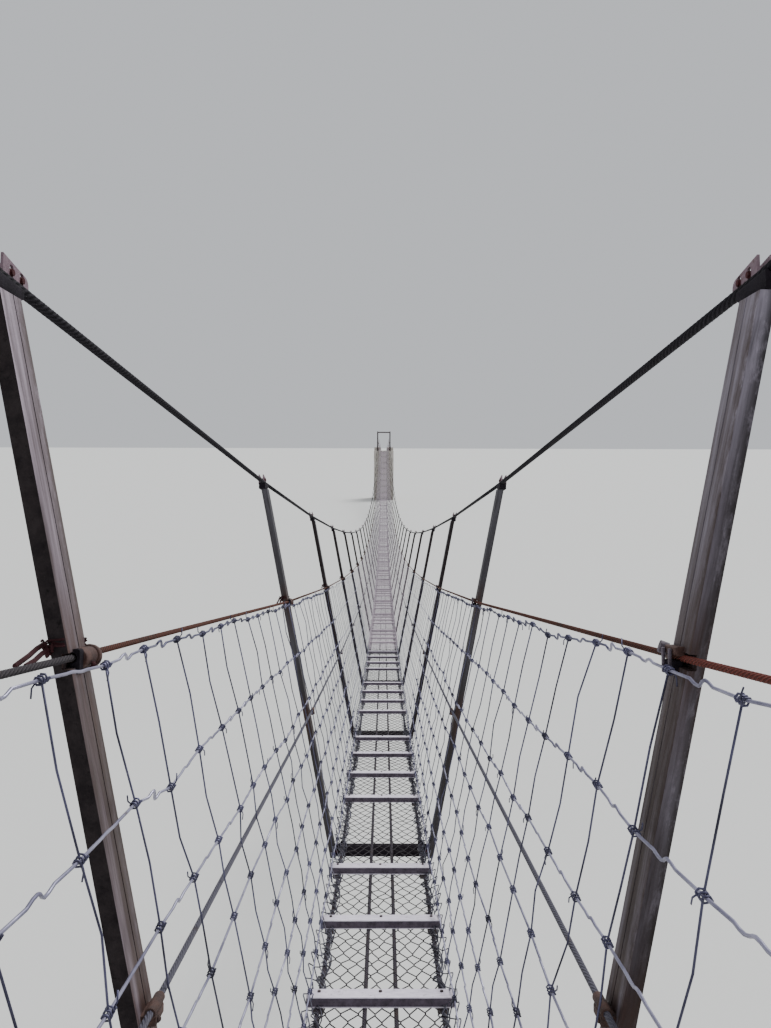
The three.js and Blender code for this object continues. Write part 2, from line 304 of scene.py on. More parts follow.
@dataclass(frozen=True)
class WeatheredZinc(Finish):
    """Hot-dip galvanised rolled steel gone dull: a pink cast, brown streaks, and dirt towards its foot."""

    pale: str = "#bcadba"
    dull: str = "#61565d"
    run: str = "#43352f"
    rust: str = "#50382f"
    dirt: str = "#3c2d26"
    clean_from: float = 0.188  # rise above which the leg is clean
    dirty_until: float = 0.112  # rise below which it is all dirty
    edge_from: Pair = (0.0495, 0.0535)  # map places where the dark edge starts and is full
    mottle: Patches = Patches(0.0024, 0.36, 0.52, 0.75)  # of the dark edge
    bloom: Patches = Patches(0.0026, 0.32, 0.68)
    streaks: Patches = Patches(0.0009, 0.5, 0.7)
    cloud: Patches = Patches(0.004, 0.15, 0.6)
    rust_spots: Patches = Patches(0.0022, 0.36, 0.66)
    dimples: Patches = Patches(0.0012, 0.2, 0.8)
    drawn_out: Point = (1.0, 0.06, 1.0)  # map scale that draws marks out along the leg
    squat: Point = (1.0, 0.35, 1.0)
    bump: float = 0.00006  # height of the relief
    streak_strength: float = 0.6
    edge_strength: float = 0.85
    dirt_strength: float = 0.9
    duller: Pair = (-0.08, 0.12)  # change of the roughness from clean to bloomed
    rusty_rises: Pair = (HANDRAIL.rise, MIDDLE.rise)  # fittings that rust runs down from
    rust_limits: tuple[Pair, Pair] = ((-0.022, 0.002), (0.012, 0.001))  # start and full, below and above

    def shade(self, mix: Recipe) -> None:
        """Lays bloom, runs, the dark edge, dirt and rust below the fittings, along the leg's own map.

        Args:
            mix: The material in the making.
        """
        place = mix.add("UVMap", uv_map=UV_NAME)
        across, rise = mix.add("SeparateXYZ", {0: place}).node.outputs[:2]
        drawn_out, squat = (mix.add("VectorMath", {0: place, 1: scale}, operation="MULTIPLY")
                            for scale in (self.drawn_out, self.squat))
        bloom = mix.patches(drawn_out, self.bloom)
        colour = mix.blend(self.pale, self.dull, bloom)
        colour = mix.blend(colour, self.run, mix.patches(drawn_out, self.streaks), self.streak_strength)
        start, full = self.edge_from
        edge = mix.add("MapRange", {"From Min": start, "From Max": full, "To Max": self.edge_strength,
                                    "Value": across})
        colour = mix.blend(colour, self.run, edge, mix.patches(squat, self.mottle))
        low = mix.add("MapRange", {"From Min": self.clean_from, "From Max": self.dirty_until,
                                   "To Max": self.dirt_strength, "Value": rise})
        colour = mix.blend(colour, self.dirt, low, mix.patches(drawn_out, self.cloud))
        spots = mix.patches(drawn_out, self.rust_spots)
        for level in self.rusty_rises:
            near = [mix.add("MapRange", {"From Min": level + start, "From Max": level + full, "Value": rise})
                    for start, full in self.rust_limits]
            colour = mix.blend(colour, self.rust, *near, spots)
        mix.feed("Base Color", colour)
        least, most = (self.roughness + change for change in self.duller)
        mix.feed("Roughness", mix.add("MapRange", {"To Min": least, "To Max": most, "Value": bloom}))
        dimples = mix.patches(place, self.dimples)
        mix.feed("Normal", mix.add("Bump", {"Strength": 1.0, "Distance": self.bump, "Height": dimples}))


@dataclass(frozen=True)
class Corroded(Finish):
    """Cast or rolled steel that has rusted: a deep crust with lighter blooms and dark pits."""

    deep: str = "#5b2a1e"
    bright: str = "#a0563a"
    dark: str = "#2c1c1a"
    grain: float = 0.0012
    bump: float = 0.00008

    def shade(self, mix: Recipe) -> None:
        """Lays blooms and pits of rust.

        Args:
            mix: The material in the making.
        """
        place = mix.add("TexCoord", output="Object")
        bloom = mix.patches(place, Patches(self.grain * 2.2, 0.36, 0.64, 0.7))
        pits = mix.patches(place, Patches(self.grain, 0.58, 0.7, 0.75))
        mix.feed("Base Color", mix.blend(mix.blend(self.deep, self.bright, bloom), self.dark, pits))
        crust = mix.patches(place, Patches(self.grain * 0.5, 0.25, 0.75, 0.8))
        mix.feed("Normal", mix.add("Bump", {"Strength": 1.0, "Distance": self.bump, "Height": crust}))


@dataclass(frozen=True)
class StrandedRope(Finish):
    """Wire rope of six strands: crowns bright with wear, grease, dirt and painted shade between them."""

    crown: str = "#2b282e"
    hollow: str = "#131116"
    stain: str = "#211e20"
    stains: Patches = Patches(0.009, 0.5, 0.7, 0.7)
    lay: float = MAIN.lay
    strands: int = 6
    bump: float = 0.00022

    def shade(self, mix: Recipe) -> None:
        """Draws the strands from the rope's own map, which has turns across and metres along.

        Args:
            mix: The material in the making.
        """
        turns, along = mix.add("SeparateXYZ", {0: mix.add("UVMap", uv_map=UV_NAME)}).node.outputs[:2]
        turned = mix.add("Math", {0: along, 1: -1 / self.lay, 2: turns}, operation="MULTIPLY_ADD")
        phase = mix.add("Math", {0: turned, 1: TURN * self.strands}, operation="MULTIPLY")
        wave = mix.add("Math", {0: phase}, operation="COSINE")
        crest = mix.add("MapRange", {"From Min": -1.0, "Value": wave})
        stains = mix.patches(mix.add("TexCoord", output="Object"), self.stains)
        # The hollows between the strands are darker with grease and dirt and with painted shade.
        mix.feed("Base Color", mix.blend(self.hollow, mix.blend(self.crown, self.stain, stains), crest))
        mix.feed("Normal", mix.add("Bump", {"Strength": 1.0, "Distance": self.bump, "Height": crest}))


@dataclass(frozen=True)
class ZincWire(Finish):
    """Galvanised fence wire: a thin bright coat with a lilac cast, duller and spotted in places."""

    bright: str = "#9a98ae"
    dull: str = "#66647a"
    spots: str = "#5a4c4a"
    worn: Patches = Patches(0.012, 0.38, 0.66)
    speckle: Patches = Patches(0.004, 0.66, 0.74, 0.7)
    duller: Pair = (-0.1, 0.15)  # change of the roughness from bright to dull

    def shade(self, mix: Recipe) -> None:
        """Lays dull stretches and a few rusty spots.

        Args:
            mix: The material in the making.
        """
        place = mix.add("TexCoord", output="Object")
        worn = mix.patches(place, self.worn)
        colour = mix.blend(self.bright, self.dull, worn)
        mix.feed("Base Color", mix.blend(colour, self.spots, mix.patches(place, self.speckle)))
        least, most = (self.roughness + change for change in self.duller)
        mix.feed("Roughness", mix.add("MapRange", {"To Min": least, "To Max": most, "Value": worn}))


@dataclass(frozen=True)
class TreadMetal(Finish):
    """Bare folded metal worn bright, with a painted sky reflection: fine scratches along it, dirt towards its
    ends.
    """

    bright: str = "#f1eaf6"
    worn: str = "#d9d0df"
    dirt: str = "#6e6264"
    half_length: float = 0.0245
    dirty_ends: Pair = (0.72, 1.1)  # shares of it where dirt starts and is full
    dirt_strength: float = 0.6
    drawn_out: Point = (0.12, 1.0, 1.0)
    bump: float = 0.00002
    scratches: Patches = Patches(0.0005, 0.4, 0.66, 0.5)
    spots: Patches = Patches(0.003, 0.57, 0.72, 0.7)

    def shade(self, mix: Recipe) -> None:
        """Draws scratches along the tread and dirt at its ends and in spots.

        Args:
            mix: The material in the making.
        """
        place = mix.add("TexCoord", output="Object")
        drawn_out = mix.add("VectorMath", {0: place, 1: self.drawn_out}, operation="MULTIPLY")
        scratches = mix.patches(drawn_out, self.scratches)
        away = mix.add("Math", {0: mix.add("SeparateXYZ", {0: place}, X)}, operation="ABSOLUTE")
        start, full = (self.half_length * share for share in self.dirty_ends)
        ends = mix.add("MapRange", {"From Min": start, "From Max": full, "Value": away})
        dirty = mix.add("Math", {0: ends, 1: mix.patches(place, self.spots)}, operation="MAXIMUM")
        metal = mix.blend(self.bright, self.worn, scratches)
        mix.feed("Base Color", mix.blend(metal, self.dirt, dirty, self.dirt_strength))
        mix.feed("Normal", mix.add("Bump", {"Strength": 1.0, "Distance": self.bump, "Height": scratches}))


@dataclass(frozen=True)
class CastConcrete(Finish):
    """Concrete cast against boards: grey with a warm cast, board lines, blow holes and damp runs."""

    pale: str = "#c3beb7"
    grey: str = "#a9a39c"
    damp: str = "#8a837b"
    board: float = 0.015
    joint: float = 0.0006
    drawn_out: Point = (1.0, 1.0, 0.12)
    bump: float = 0.0004
    clouds: Patches = Patches(0.05, 0.35, 0.65, 0.65)
    runs: Patches = Patches(0.012, 0.55, 0.75)
    holes: Patches = Patches(0.0035, 0.3, 0.42, 0.7)

    def shade(self, mix: Recipe) -> None:
        """Draws board courses, clouds and damp runs.

        Args:
            mix: The material in the making.
        """
        place = mix.add("TexCoord", output="Object")
        drawn_out = mix.add("VectorMath", {0: place, 1: self.drawn_out}, operation="MULTIPLY")
        height = mix.add("SeparateXYZ", {0: place}, Z)
        course = mix.add("Math", {0: height, 1: self.board}, operation="PINGPONG")
        joint = mix.add("MapRange", {"From Max": self.joint, "Value": course})
        colour = mix.blend(self.pale, self.grey, mix.patches(place, self.clouds))
        colour = mix.blend(colour, self.damp, mix.patches(drawn_out, self.runs))
        mix.feed("Base Color", mix.blend(self.damp, colour, joint))
        hollows = mix.add("Math", {0: joint, 1: mix.patches(place, self.holes)}, operation="MINIMUM")
        mix.feed("Normal", mix.add("Bump", {"Strength": 1.0, "Distance": self.bump, "Height": hollows}))


@dataclass
class WireMesh:
    """Wires and ropes gathered as one mesh, made from arrays."""

    points: list[Array] = field(default_factory=list)
    corners: list[Array] = field(default_factory=list)
    lengths: list[Array] = field(default_factory=list)
    maps: list[Array] = field(default_factory=list)
    slots: list[Array] = field(default_factory=list)
    count: int = 0

    def add(self, lines: Array, radius: float | Array, sides: int, across: Point, slot: int = 0,
            twist: float = 0.0) -> None:
        """Adds wires that all have the same number of points.

        Args:
            lines: Centre lines, as wires by points by three.
            radius: One radius, or one for each corner of the section.
            sides: Corners of the section.
            across: A direction that no wire runs along.
            slot: The material slot.
            twist: Turns of the section per metre.
        """
        lines = np.asarray(lines, float)
        wires, steps = lines.shape[:2]
        ahead = np.gradient(lines, axis=1)
        ahead /= np.linalg.norm(ahead, axis=2, keepdims=True)
        side = np.cross(ahead, across)
        side /= np.linalg.norm(side, axis=2, keepdims=True)
        over = np.cross(side, ahead)
        reach = np.linalg.norm(np.diff(lines, axis=1), axis=2)
        length = np.concatenate([np.zeros((wires, 1)), np.cumsum(reach, axis=1)], axis=1)
        turns = np.arange(sides) / sides + (length * twist)[..., None]
        cosine, sine = np.cos(TURN * turns)[..., None], np.sin(TURN * turns)[..., None]
        ring = cosine * side[:, :, None] + sine * over[:, :, None]
        ring *= np.broadcast_to(radius, (sides,))[None, None, :, None]
        self.points.append((lines[:, :, None] + ring).reshape(-1, 3))
        index = np.arange(wires * steps * sides).reshape(wires, steps, sides) + self.count
        self.count += index.size
        here, next_ring = index[:, :-1], index[:, 1:]
        quads = np.stack([here, next_ring, np.roll(next_ring, -1, 2), np.roll(here, -1, 2)], axis=-1)
        low, high, step = turns[:, :-1], turns[:, 1:], 1 / sides
        along = np.broadcast_to(length[..., None], turns.shape)
        start, end = along[:, :-1], along[:, 1:]
        places = np.stack([low, start, high, end, high + step, end, low + step, start], axis=-1)
        self._keep(quads.reshape(-1, 4), places.reshape(-1, 2), slot)
        for ends in (index[:, 0], index[:, -1, ::-1]):
            self._keep(ends, np.zeros((ends.size, 2)), slot)

    def _keep(self, faces: Array, places: Array, slot: int) -> None:
        """Keeps faces of one size with the map of their corners.

        Args:
            faces: The corners of each face.
            places: The map of those corners.
            slot: The material slot.
        """
        self.corners.append(faces.ravel())
        self.lengths.append(np.full(len(faces), faces.shape[1]))
        self.maps.append(places)
        self.slots.append(np.full(len(faces), slot))

    def make(self, name: str, materials: list[Material]) -> Object:
        """Makes the object.

        Args:
            name: The piece's name.
            materials: One material for each slot.

        Returns:
            The new object, with its place in its mesh.
        """
        mesh = bpy.data.meshes.new(name)
        corners, lengths = np.concatenate(self.corners), np.concatenate(self.lengths)
        mesh.vertices.add(self.count)
        mesh.vertices.foreach_set("co", np.concatenate(self.points).ravel())
        mesh.loops.add(len(corners))
        mesh.loops.foreach_set("vertex_index", corners)
        mesh.polygons.add(len(lengths))
        mesh.polygons.foreach_set("loop_start", np.concatenate([[0], np.cumsum(lengths)[:-1]]))
        mesh.polygons.foreach_set("material_index", np.concatenate(self.slots))
        mesh.polygons.foreach_set("use_smooth", np.ones(len(lengths), bool))
        mesh.uv_layers.new(name=UV_NAME).data.foreach_set("uv", np.concatenate(self.maps).ravel())
        for material in materials:
            mesh.materials.append(material)
        mesh.update(calc_edges=True)
        piece = bpy.data.objects.new(name, mesh)
        bpy.context.scene.collection.objects.link(piece)
        return piece


def settle(piece: Object, slot: str, *nodes: str) -> None:
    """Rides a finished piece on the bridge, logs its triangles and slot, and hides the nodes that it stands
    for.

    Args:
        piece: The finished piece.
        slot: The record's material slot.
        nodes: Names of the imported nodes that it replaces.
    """
    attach(piece, BODY)
    if nodes:
        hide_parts(*nodes)
    piece.data.calc_loop_triangles()
    log.info("%s: %d triangles, slot %s", piece.name, len(piece.data.loop_triangles), slot)


def activate(*pieces: Object) -> None:
    """Selects these pieces and nothing else; the first becomes the active one."""
    bpy.ops.object.select_all(action="DESELECT")
    for piece in pieces:
        piece.select_set(True)
    bpy.context.view_layer.objects.active = pieces[0]


@contextmanager
def editing(piece: Object, mode: str = "FACE") -> Iterator[bmesh.types.BMesh]:
    """Opens a piece in edit mode with nothing selected.

    Args:
        piece: The piece to edit.
        mode: What is selected: VERT, EDGE or FACE.

    Yields:
        The piece's edit mesh.
    """
    activate(piece)
    bpy.ops.object.mode_set(mode="EDIT")
    bpy.ops.mesh.select_mode(type=mode)
    bpy.ops.mesh.select_all(action="DESELECT")
    yield bmesh.from_edit_mesh(piece.data)
    bpy.ops.object.mode_set(mode="OBJECT")


def pick_faces(shape: bmesh.types.BMesh, rule: Rule) -> None:
    """Selects the faces whose centre and normal pass a rule."""
    for face in shape.faces:
        face.select_set(rule(face.calc_center_median(), face.normal))


def pick_edges(shape: bmesh.types.BMesh, rule: Rule) -> None:
    """Selects the edges whose middle and direction pass a rule."""
    for edge in shape.edges:
        first, second = (vertex.co for vertex in edge.verts)
        edge.select_set(rule((first + second) / 2, (second - first).normalized()))


def looks(axis: int, sign: int) -> Rule:
    """Gives the rule for faces that look along an axis, or against it."""
    return lambda at, normal: normal[axis] * sign > ALIGNED


def runs(axis: int, share: float = ALIGNED) -> Rule:
    """Gives the rule for edges that run along an axis."""
    return lambda at, way: abs(way[axis]) > share


def block(low: Point, high: Point, at: Point = (0, 0, 0)) -> Object:
    """Starts a piece from a block.

    Args:
        low: Its lowest corner.
        high: Its highest corner.
        at: The place that both corners are measured from.

    Returns:
        The block, with its place and size in its mesh.
    """
    low, high = (Vector([value + start for value, start in zip(corner, at)]) for corner in (low, high))
    bpy.ops.object.select_all(action="DESELECT")
    bpy.ops.mesh.primitive_cube_add(size=1, location=(low + high) / 2)
    piece = bpy.context.object
    piece.scale = high - low
    bpy.ops.object.transform_apply(location=True, rotation=True, scale=True)
    return piece


def rod(radius: float, start: Point, end: Point, sides: int, at: Point = (0, 0, 0)) -> Object:
    """Starts a piece from a round rod.

    Args:
        radius: Its radius.
        start: The middle of its first end.
        end: The middle of its last end.
        sides: Corners of its section.
        at: The place that both ends are measured from.

    Returns:
        The rod, with its place and turn in its mesh.
    """
    start, end = Vector(start) + Vector(at), Vector(end) + Vector(at)
    reach = end - start
    bpy.ops.object.select_all(action="DESELECT")
    bpy.ops.mesh.primitive_cylinder_add(vertices=sides, radius=radius, depth=reach.length,
                                        location=(start + end) / 2,
                                        rotation=reach.to_track_quat("Z", "Y").to_euler())
    bpy.ops.object.transform_apply(location=True, rotation=True, scale=True)
    return bpy.context.object


def round_edges(piece: Object, width: float, segments: int,
                rule: Rule = lambda at, way: True) -> Object:
    """Bevels the edges that pass a rule.

    Args:
        piece: The piece.
        width: Width of the bevel.
        segments: Steps of the round.
        rule: Takes an edge's middle and direction.

    Returns:
        The same piece.
    """
    with editing(piece, "EDGE") as shape:
        pick_edges(shape, rule)
        bpy.ops.mesh.bevel(offset=width, offset_type="WIDTH", segments=segments, profile=0.5,
                           clamp_overlap=True)
    return piece


def carve(piece: Object, cutter: Object) -> None:
    """Takes a cutter's shape out of a piece, with a Boolean modifier.

    Args:
        piece: The piece.
        cutter: The shape to take out, which is used up.
    """
    activate(piece)
    modifier = piece.modifiers.new("carve", "BOOLEAN")
    modifier.operation = "DIFFERENCE"
    modifier.object = cutter
    bpy.ops.object.modifier_apply(modifier=modifier.name)
    bpy.data.objects.remove(cutter)


def dress(piece: Object, material: Material) -> Object:
    """Gives a whole piece one material.

    Args:
        piece: The piece.
        material: Its only material.

    Returns:
        The same piece.
    """
    piece.data.materials.clear()
    piece.data.materials.append(material)
    return piece


def swap_finish(piece: Object, others: dict[Material, Material]) -> None:
    """Puts other finishes in a piece's slots, in place of the ones named."""
    for index, material in enumerate(piece.data.materials):
        piece.data.materials[index] = others.get(material, material)


def merge(name: str, parts: list[Object]) -> Object:
    """Joins parts into one piece, with its flat faces kept flat.

    Args:
        name: The piece's name.
        parts: The parts, which are used up.

    Returns:
        The joined piece.
    """
    activate(*parts)
    bpy.ops.object.join()
    piece = bpy.context.object
    piece.name = piece.data.name = name
    bpy.ops.object.shade_smooth_by_angle(angle=math.radians(FLAT_FROM))
    return piece


def copied(piece: Object, place: Matrix) -> Object:
    """Copies a piece with a mesh of its own and moves that mesh to its place.

    Args:
        piece: The piece.
        place: Where the copy goes.

    Returns:
        The copy.
    """
    twin = piece.copy()
    twin.data = piece.data.copy()
    twin.data.transform(place)
    bpy.context.scene.collection.objects.link(twin)
    return twin


def mirrored(piece: Object) -> Object:
    """Copies a piece to the other side of the walkway, with its faces turned outwards again.

    Args:
        piece: The piece.

    Returns:
        The copy.
    """
    twin = copied(piece, Matrix.Scale(-1, 4, ACROSS))
    with editing(twin):
        bpy.ops.mesh.select_all(action="SELECT")
        bpy.ops.mesh.normals_make_consistent(inside=False)
    return twin


def bolt_head(centre: Point, axis: Point, material: Material, radius: float = BOLT) -> Object:
    """Models a bolt head with a rounded top.

    Args:
        centre: Where its washer face sits.
        axis: The way it points, with its height as length.
        material: Its finish.
        radius: Its radius.

    Returns:
        The bolt head.
    """
    head = rod(radius, centre, Vector(centre) + Vector(axis), sides=8)
    outward = Vector(axis).normalized()
    with editing(head) as shape:
        pick_faces(shape, lambda at, normal: normal.dot(outward) > ALIGNED)
        bpy.ops.mesh.bevel(offset=BOLT * 0.4, segments=1)
    return dress(head, material)


@dataclass
class SteelFrames:
    """The V-shaped frames: two legs and a foot bar, with a fitting on each leg for each cable.

    A fitting's sizes are measured from its cable's centre.
    """

    paints: Paints
    foot_half: float = 0.0274  # centre of a leg at walkway level
    depth: float = 0.008
    thickness: float = 0.0029
    blank_half: float = 0.110  # half the length of a leg before its ends are cut
    leg_lap: float = 0.0003  # how far a leg reaches into its saddle
    leg_finishes: tuple[str, str] = ("leg", "leg_edge")  # broad faces, and the narrow ones that look along Y, which are painted darker as shade
    map_middle: float = 0.05  # place of a broad face's middle in the leg's map
    seam: Pair = (0.0006, 0.0009)  # edges of the seam along a leg's inner face
    seam_depth: float = 0.0003
    rail_slot: Box = ((-0.004, -0.02, -0.0014), (0.0009, 0.02, 0.0012))
    bar_top: float = -0.00483
    bar_height: float = 0.0055
    bar_depth: float = 0.004
    bar_panel: Pair = (0.0009, -0.0008)  # margin and depth of the hollow in its front
    bar_bolts: Pair = (-0.0238, 0.0238)
    bar_bolt_seat: Pair = (0.0006, 0.0027)  # depth behind the bar's front, and depth below its top
    bar_bolt_axis: Point = (0, -0.0012, 0)
    clip: Box = ((-0.0013, -0.0012, -0.0002), (0.0013, 0.0012, 0.0018))  # from the bar's top
    clip_places: Pair = (-0.0204, 0.0204)
    saddle: Box = ((-0.0014, -0.0042, -0.0036), (0.0020, 0.0068, -0.0003))
    saddle_bend: float = 0.004  # beyond here its underside rises
    saddle_rise: float = 0.0014
    groove: Rod = (MAIN.radius * 1.04, (0, -0.02, 0), (0, 0.03, 0), 16)
    keeper: Box = ((0.0, 0.0028, -0.0004), (0.0005, 0.0130, 0.0048))
    keepers: Pair = (0.0006, 0.0028)  # the two plates' places across the cable
    keeper_drop: float = 0.0013  # how much lower its far end is
    keeper_slot: Box = ((-0.001, -0.0007, 0.0014), (0.001, 0.0007, 0.0037))
    clamp_bolts: Pair = (0.0060, 0.0100)  # places of the bolts along the cable
    clamp_bolt_rise: float = 0.0024
    clamp_heads: tuple[Point, ...] = (
        (0.0008, -0.0005, 0.00075), (0.0032, 0.0007, 0.0010))  # each: place across, height and radius
    shank: Rod = (0.0006, (0.0002, 0, 0), (0.0036, 0, 0), 10)
    barrel: Rod = (0.0017, (-0.0002, -0.0004, -0.0003), (-0.0002, 0.0052, -0.0003), 18)
    flange: Rod = (0.0021, (-0.0002, 0.0047, -0.0003), (-0.0002, 0.0061, -0.0005), 18)
    jaw: Box = ((-0.0013, -0.0022, -0.0026), (0.0002, -0.0005, 0.0014))
    jaw_bore: Rod = (0.00085, (0, -0.004, 0), (0, 0.001, 0), 16)
    binding_turns: int = 4
    binding_ends: Pair = (-0.29, 0.42)  # turns about the leg, from its front to its far inner corner
    binding_square: float = 0.3  # the less, the squarer it runs around the leg
    binding_step: float = 0.0003  # rise from turn to turn
    binding_radius: float = 0.00018
    coil_radius: float = 0.0002
    coil_turns: int = 4
    tail_radius: float = 0.0004
    coil_centre: Point = (0.0029, -0.0040, 0.0016)
    coils: tuple[Pair, Pair] = ((0.0, 0.0008), (0.4, 0.0006))  # turn that each starts at, and its width
    coil_reach: Point = (0.0012, 0.0004, 0.0016)
    tails: Pair = (0.0, 0.0008)  # how far each tail is shifted
    stained_block: Box = ((-0.0015, -0.0014, 0.0004), (0.0, 0.0042, 0.0019))
    heel: Box = ((-0.0017, -0.0004, -0.0026), (0.0, 0.0041, -0.0005))
    strap: Box = ((-0.0021, 0.0, -0.0027), (-0.0016, 0.0008, 0.0015))
    straps: Pair = (0.0, 0.0032)
    dome: Rod = (0.00105, (-0.0006, 0.0050, 0.0011), (-0.0020, 0.0052, 0.0016), 16)
    collar: Rod = (0.0009, (0, 0.0036, 0), (0, 0.0060, 0), 14)
    bracket: Box = ((-0.0009, -0.0025, -0.0023), (0.0022, 0.0025, -0.0006))
    sleeve: Rod = (0.00095, (0, -0.0030, 0), (0, 0.0030, 0), 14)

    @property
    def lean(self) -> float:
        """Outward run of a leg for its rise."""
        return (MAIN.half - self.foot_half) / MAIN.rise

    def leg(self) -> Object:
        """Models the right leg: rounded corners, the seam on its inner face and a slot for the handrail.

        Returns:
            The leg.
        """
        half, deep = self.thickness / 2, self.depth / 2
        leg = block((-half, -deep, -self.blank_half), (half, deep, self.blank_half))
        round_edges(leg, 0.0003, 2, runs(Z))
        low, high = self.seam
        with editing(leg) as shape:
            for cut in self.seam:
                pick_faces(shape, looks(X, -1))
                bpy.ops.mesh.bisect(plane_co=(0, cut, 0), plane_no=ALONG)
            pick_faces(shape, lambda at, normal: normal.x < -ALIGNED and low < at.y < high)
            bpy.ops.mesh.extrude_region_move(TRANSFORM_OT_translate={"value": (self.seam_depth, 0, 0)})
        middle = MAIN.rise / 2
        leg.rotation_euler = (0, math.atan(self.lean), 0)
        leg.location = (self.foot_half + self.lean * middle, 0, middle)
        activate(leg)
        bpy.ops.object.transform_apply(location=True, rotation=True, scale=True)
        cuts = ((self.bar_top - self.bar_height, True), (MAIN.rise + self.saddle[0][Z] + self.leg_lap, False))
        for height, is_foot in cuts:
            with editing(leg):
                bpy.ops.mesh.select_all(action="SELECT")
                bpy.ops.mesh.bisect(plane_co=(0, 0, height), plane_no=UP, use_fill=True, clear_inner=is_foot,
                                    clear_outer=not is_foot)
        carve(leg, block(*self.rail_slot, (HANDRAIL.half, 0, HANDRAIL.rise)))
        self.map_leg(leg)
        return leg

    def map_leg(self, leg: Object) -> None:
        """Maps a leg by its place, across the face and up it, and gives its faces their finishes.

        Args:
            leg: The right leg, without materials.
        """
        layer = leg.data.uv_layers.new(name=UV_NAME)
        for polygon in leg.data.polygons:
            # Faces that look along Y take the second finish, which is painted darker as shade.
            narrow = abs(polygon.normal.y) > 0.7
            polygon.material_index = int(narrow)
            for corner in polygon.loop_indices:
                x, y, z = leg.data.vertices[leg.data.loops[corner].vertex_index].co
                layer.data[corner].uv = (x - self.lean * z if narrow else y + self.map_middle, z)
        for use in self.leg_finishes:
            leg.data.materials.append(self.paints[f"{use}_right"])

    def foot_bar(self) -> Object:
        """Models the bar that joins the feet, with its bolts and a clip over each outer foot rope.

        Returns:
            The bar.
        """
        reach, deep = self.foot_half - 0.0005, self.bar_depth / 2
        bar = block((-reach, -deep, self.bar_top - self.bar_height), (reach, deep, self.bar_top))
        round_edges(bar, 0.0004, 2, runs(X))
        with editing(bar) as shape:
            pick_faces(shape, looks(Y, -1))
            bpy.ops.mesh.inset(thickness=self.bar_panel[0], depth=self.bar_panel[1])
        parts = [dress(bar, self.paints["saddle"])]
        for x in self.bar_bolts:
            behind, below = self.bar_bolt_seat
            seat = (x, -deep + behind, self.bar_top - below)
            parts.append(bolt_head(seat, self.bar_bolt_axis, self.paints["bolt"]))
        for x in self.clip_places:
            clip = block(*self.clip, (x, 0, self.bar_top))
            round_edges(clip, 0.0006, 2, lambda at, way: abs(way.y) > ALIGNED and at.z > self.bar_top)
            parts.append(dress(clip, self.paints["saddle"]))
        return merge("bar", parts)

    def main_clamp(self) -> Object:
        """Models the clamp on top of a leg: a grooved saddle and two bolted keeper plates.

        Returns:
            The clamp.
        """
        under, saddle_end = self.saddle[0][Z], self.saddle[1][Y]
        saddle = block(*self.saddle)
        with editing(saddle) as shape:
            pick_faces(shape, looks(Z, -1))
            bpy.ops.mesh.bisect(plane_co=(0, self.saddle_bend, 0), plane_no=ALONG)
        with editing(saddle, "EDGE") as shape:
            pick_edges(shape, lambda at, way: at.y > saddle_end - CLOSE and at.z < under + CLOSE)
            bpy.ops.transform.translate(value=(0, 0, self.saddle_rise))
        round_edges(saddle, 0.0005, 2, runs(Y, 0.5))
        carve(saddle, rod(*self.groove))
        parts = [dress(saddle, self.paints["saddle"])]
        end, top = self.keeper[1][Y], self.keeper[1][Z]
        for x in self.keepers:
            keeper = block(*self.keeper, (x, 0, 0))
            with editing(keeper, "EDGE") as shape:
                pick_edges(shape, lambda at, way: at.y > end - CLOSE and at.z > top - CLOSE)
                bpy.ops.transform.translate(value=(0, 0, -self.keeper_drop))
            round_edges(keeper, 0.0022, 4, lambda at, way: abs(way.x) > ALIGNED
                        and at.y > end - CLOSE and at.z > 0)
            round_edges(keeper, 0.00012, 1)
            for y in self.clamp_bolts:
                carve(keeper, round_edges(block(*self.keeper_slot, (x, y, 0)), 0.0006, 3, runs(X)))
            parts.append(dress(keeper, self.paints["keeper"]))
        rise, rust = self.clamp_bolt_rise, self.paints["bolt"]
        for y in self.clamp_bolts:
            parts.append(dress(rod(*self.shank, (0, y, rise)), rust))
            for x, height, radius in self.clamp_heads:
                parts.append(bolt_head((x, y, rise), (height, 0, 0), rust, radius))
        return merge("main_clamp", parts)

    def barrel_lug(self) -> Object:
        """Models the left handrail fitting: a rusty barrel with a flange, a dark jaw and a binding of wire.

        Returns:
            The fitting, on the left side.
        """
        barrel, flange = rod(*self.barrel), rod(*self.flange)
        for part, width in ((barrel, 0.0003), (flange, 0.0005)):
            round_edges(part, width, 3, lambda at, way: abs(way.y) < 0.5)
        jaw = round_edges(block(*self.jaw), 0.0006, 3, runs(Y, 0.5))
        carve(jaw, rod(*self.jaw_bore))
        rusty = self.paints["barrel"]
        parts = [dress(barrel, rusty), dress(flange, rusty), dress(jaw, self.paints["saddle"])]
        parts.append(bolt_head((-0.0018, 0.0023, -0.0016), (-0.0006, 0, 0), self.paints["bolt"], 0.0007))
        parts.append(self.binding())
        return mirrored(merge("rail_lug", parts))

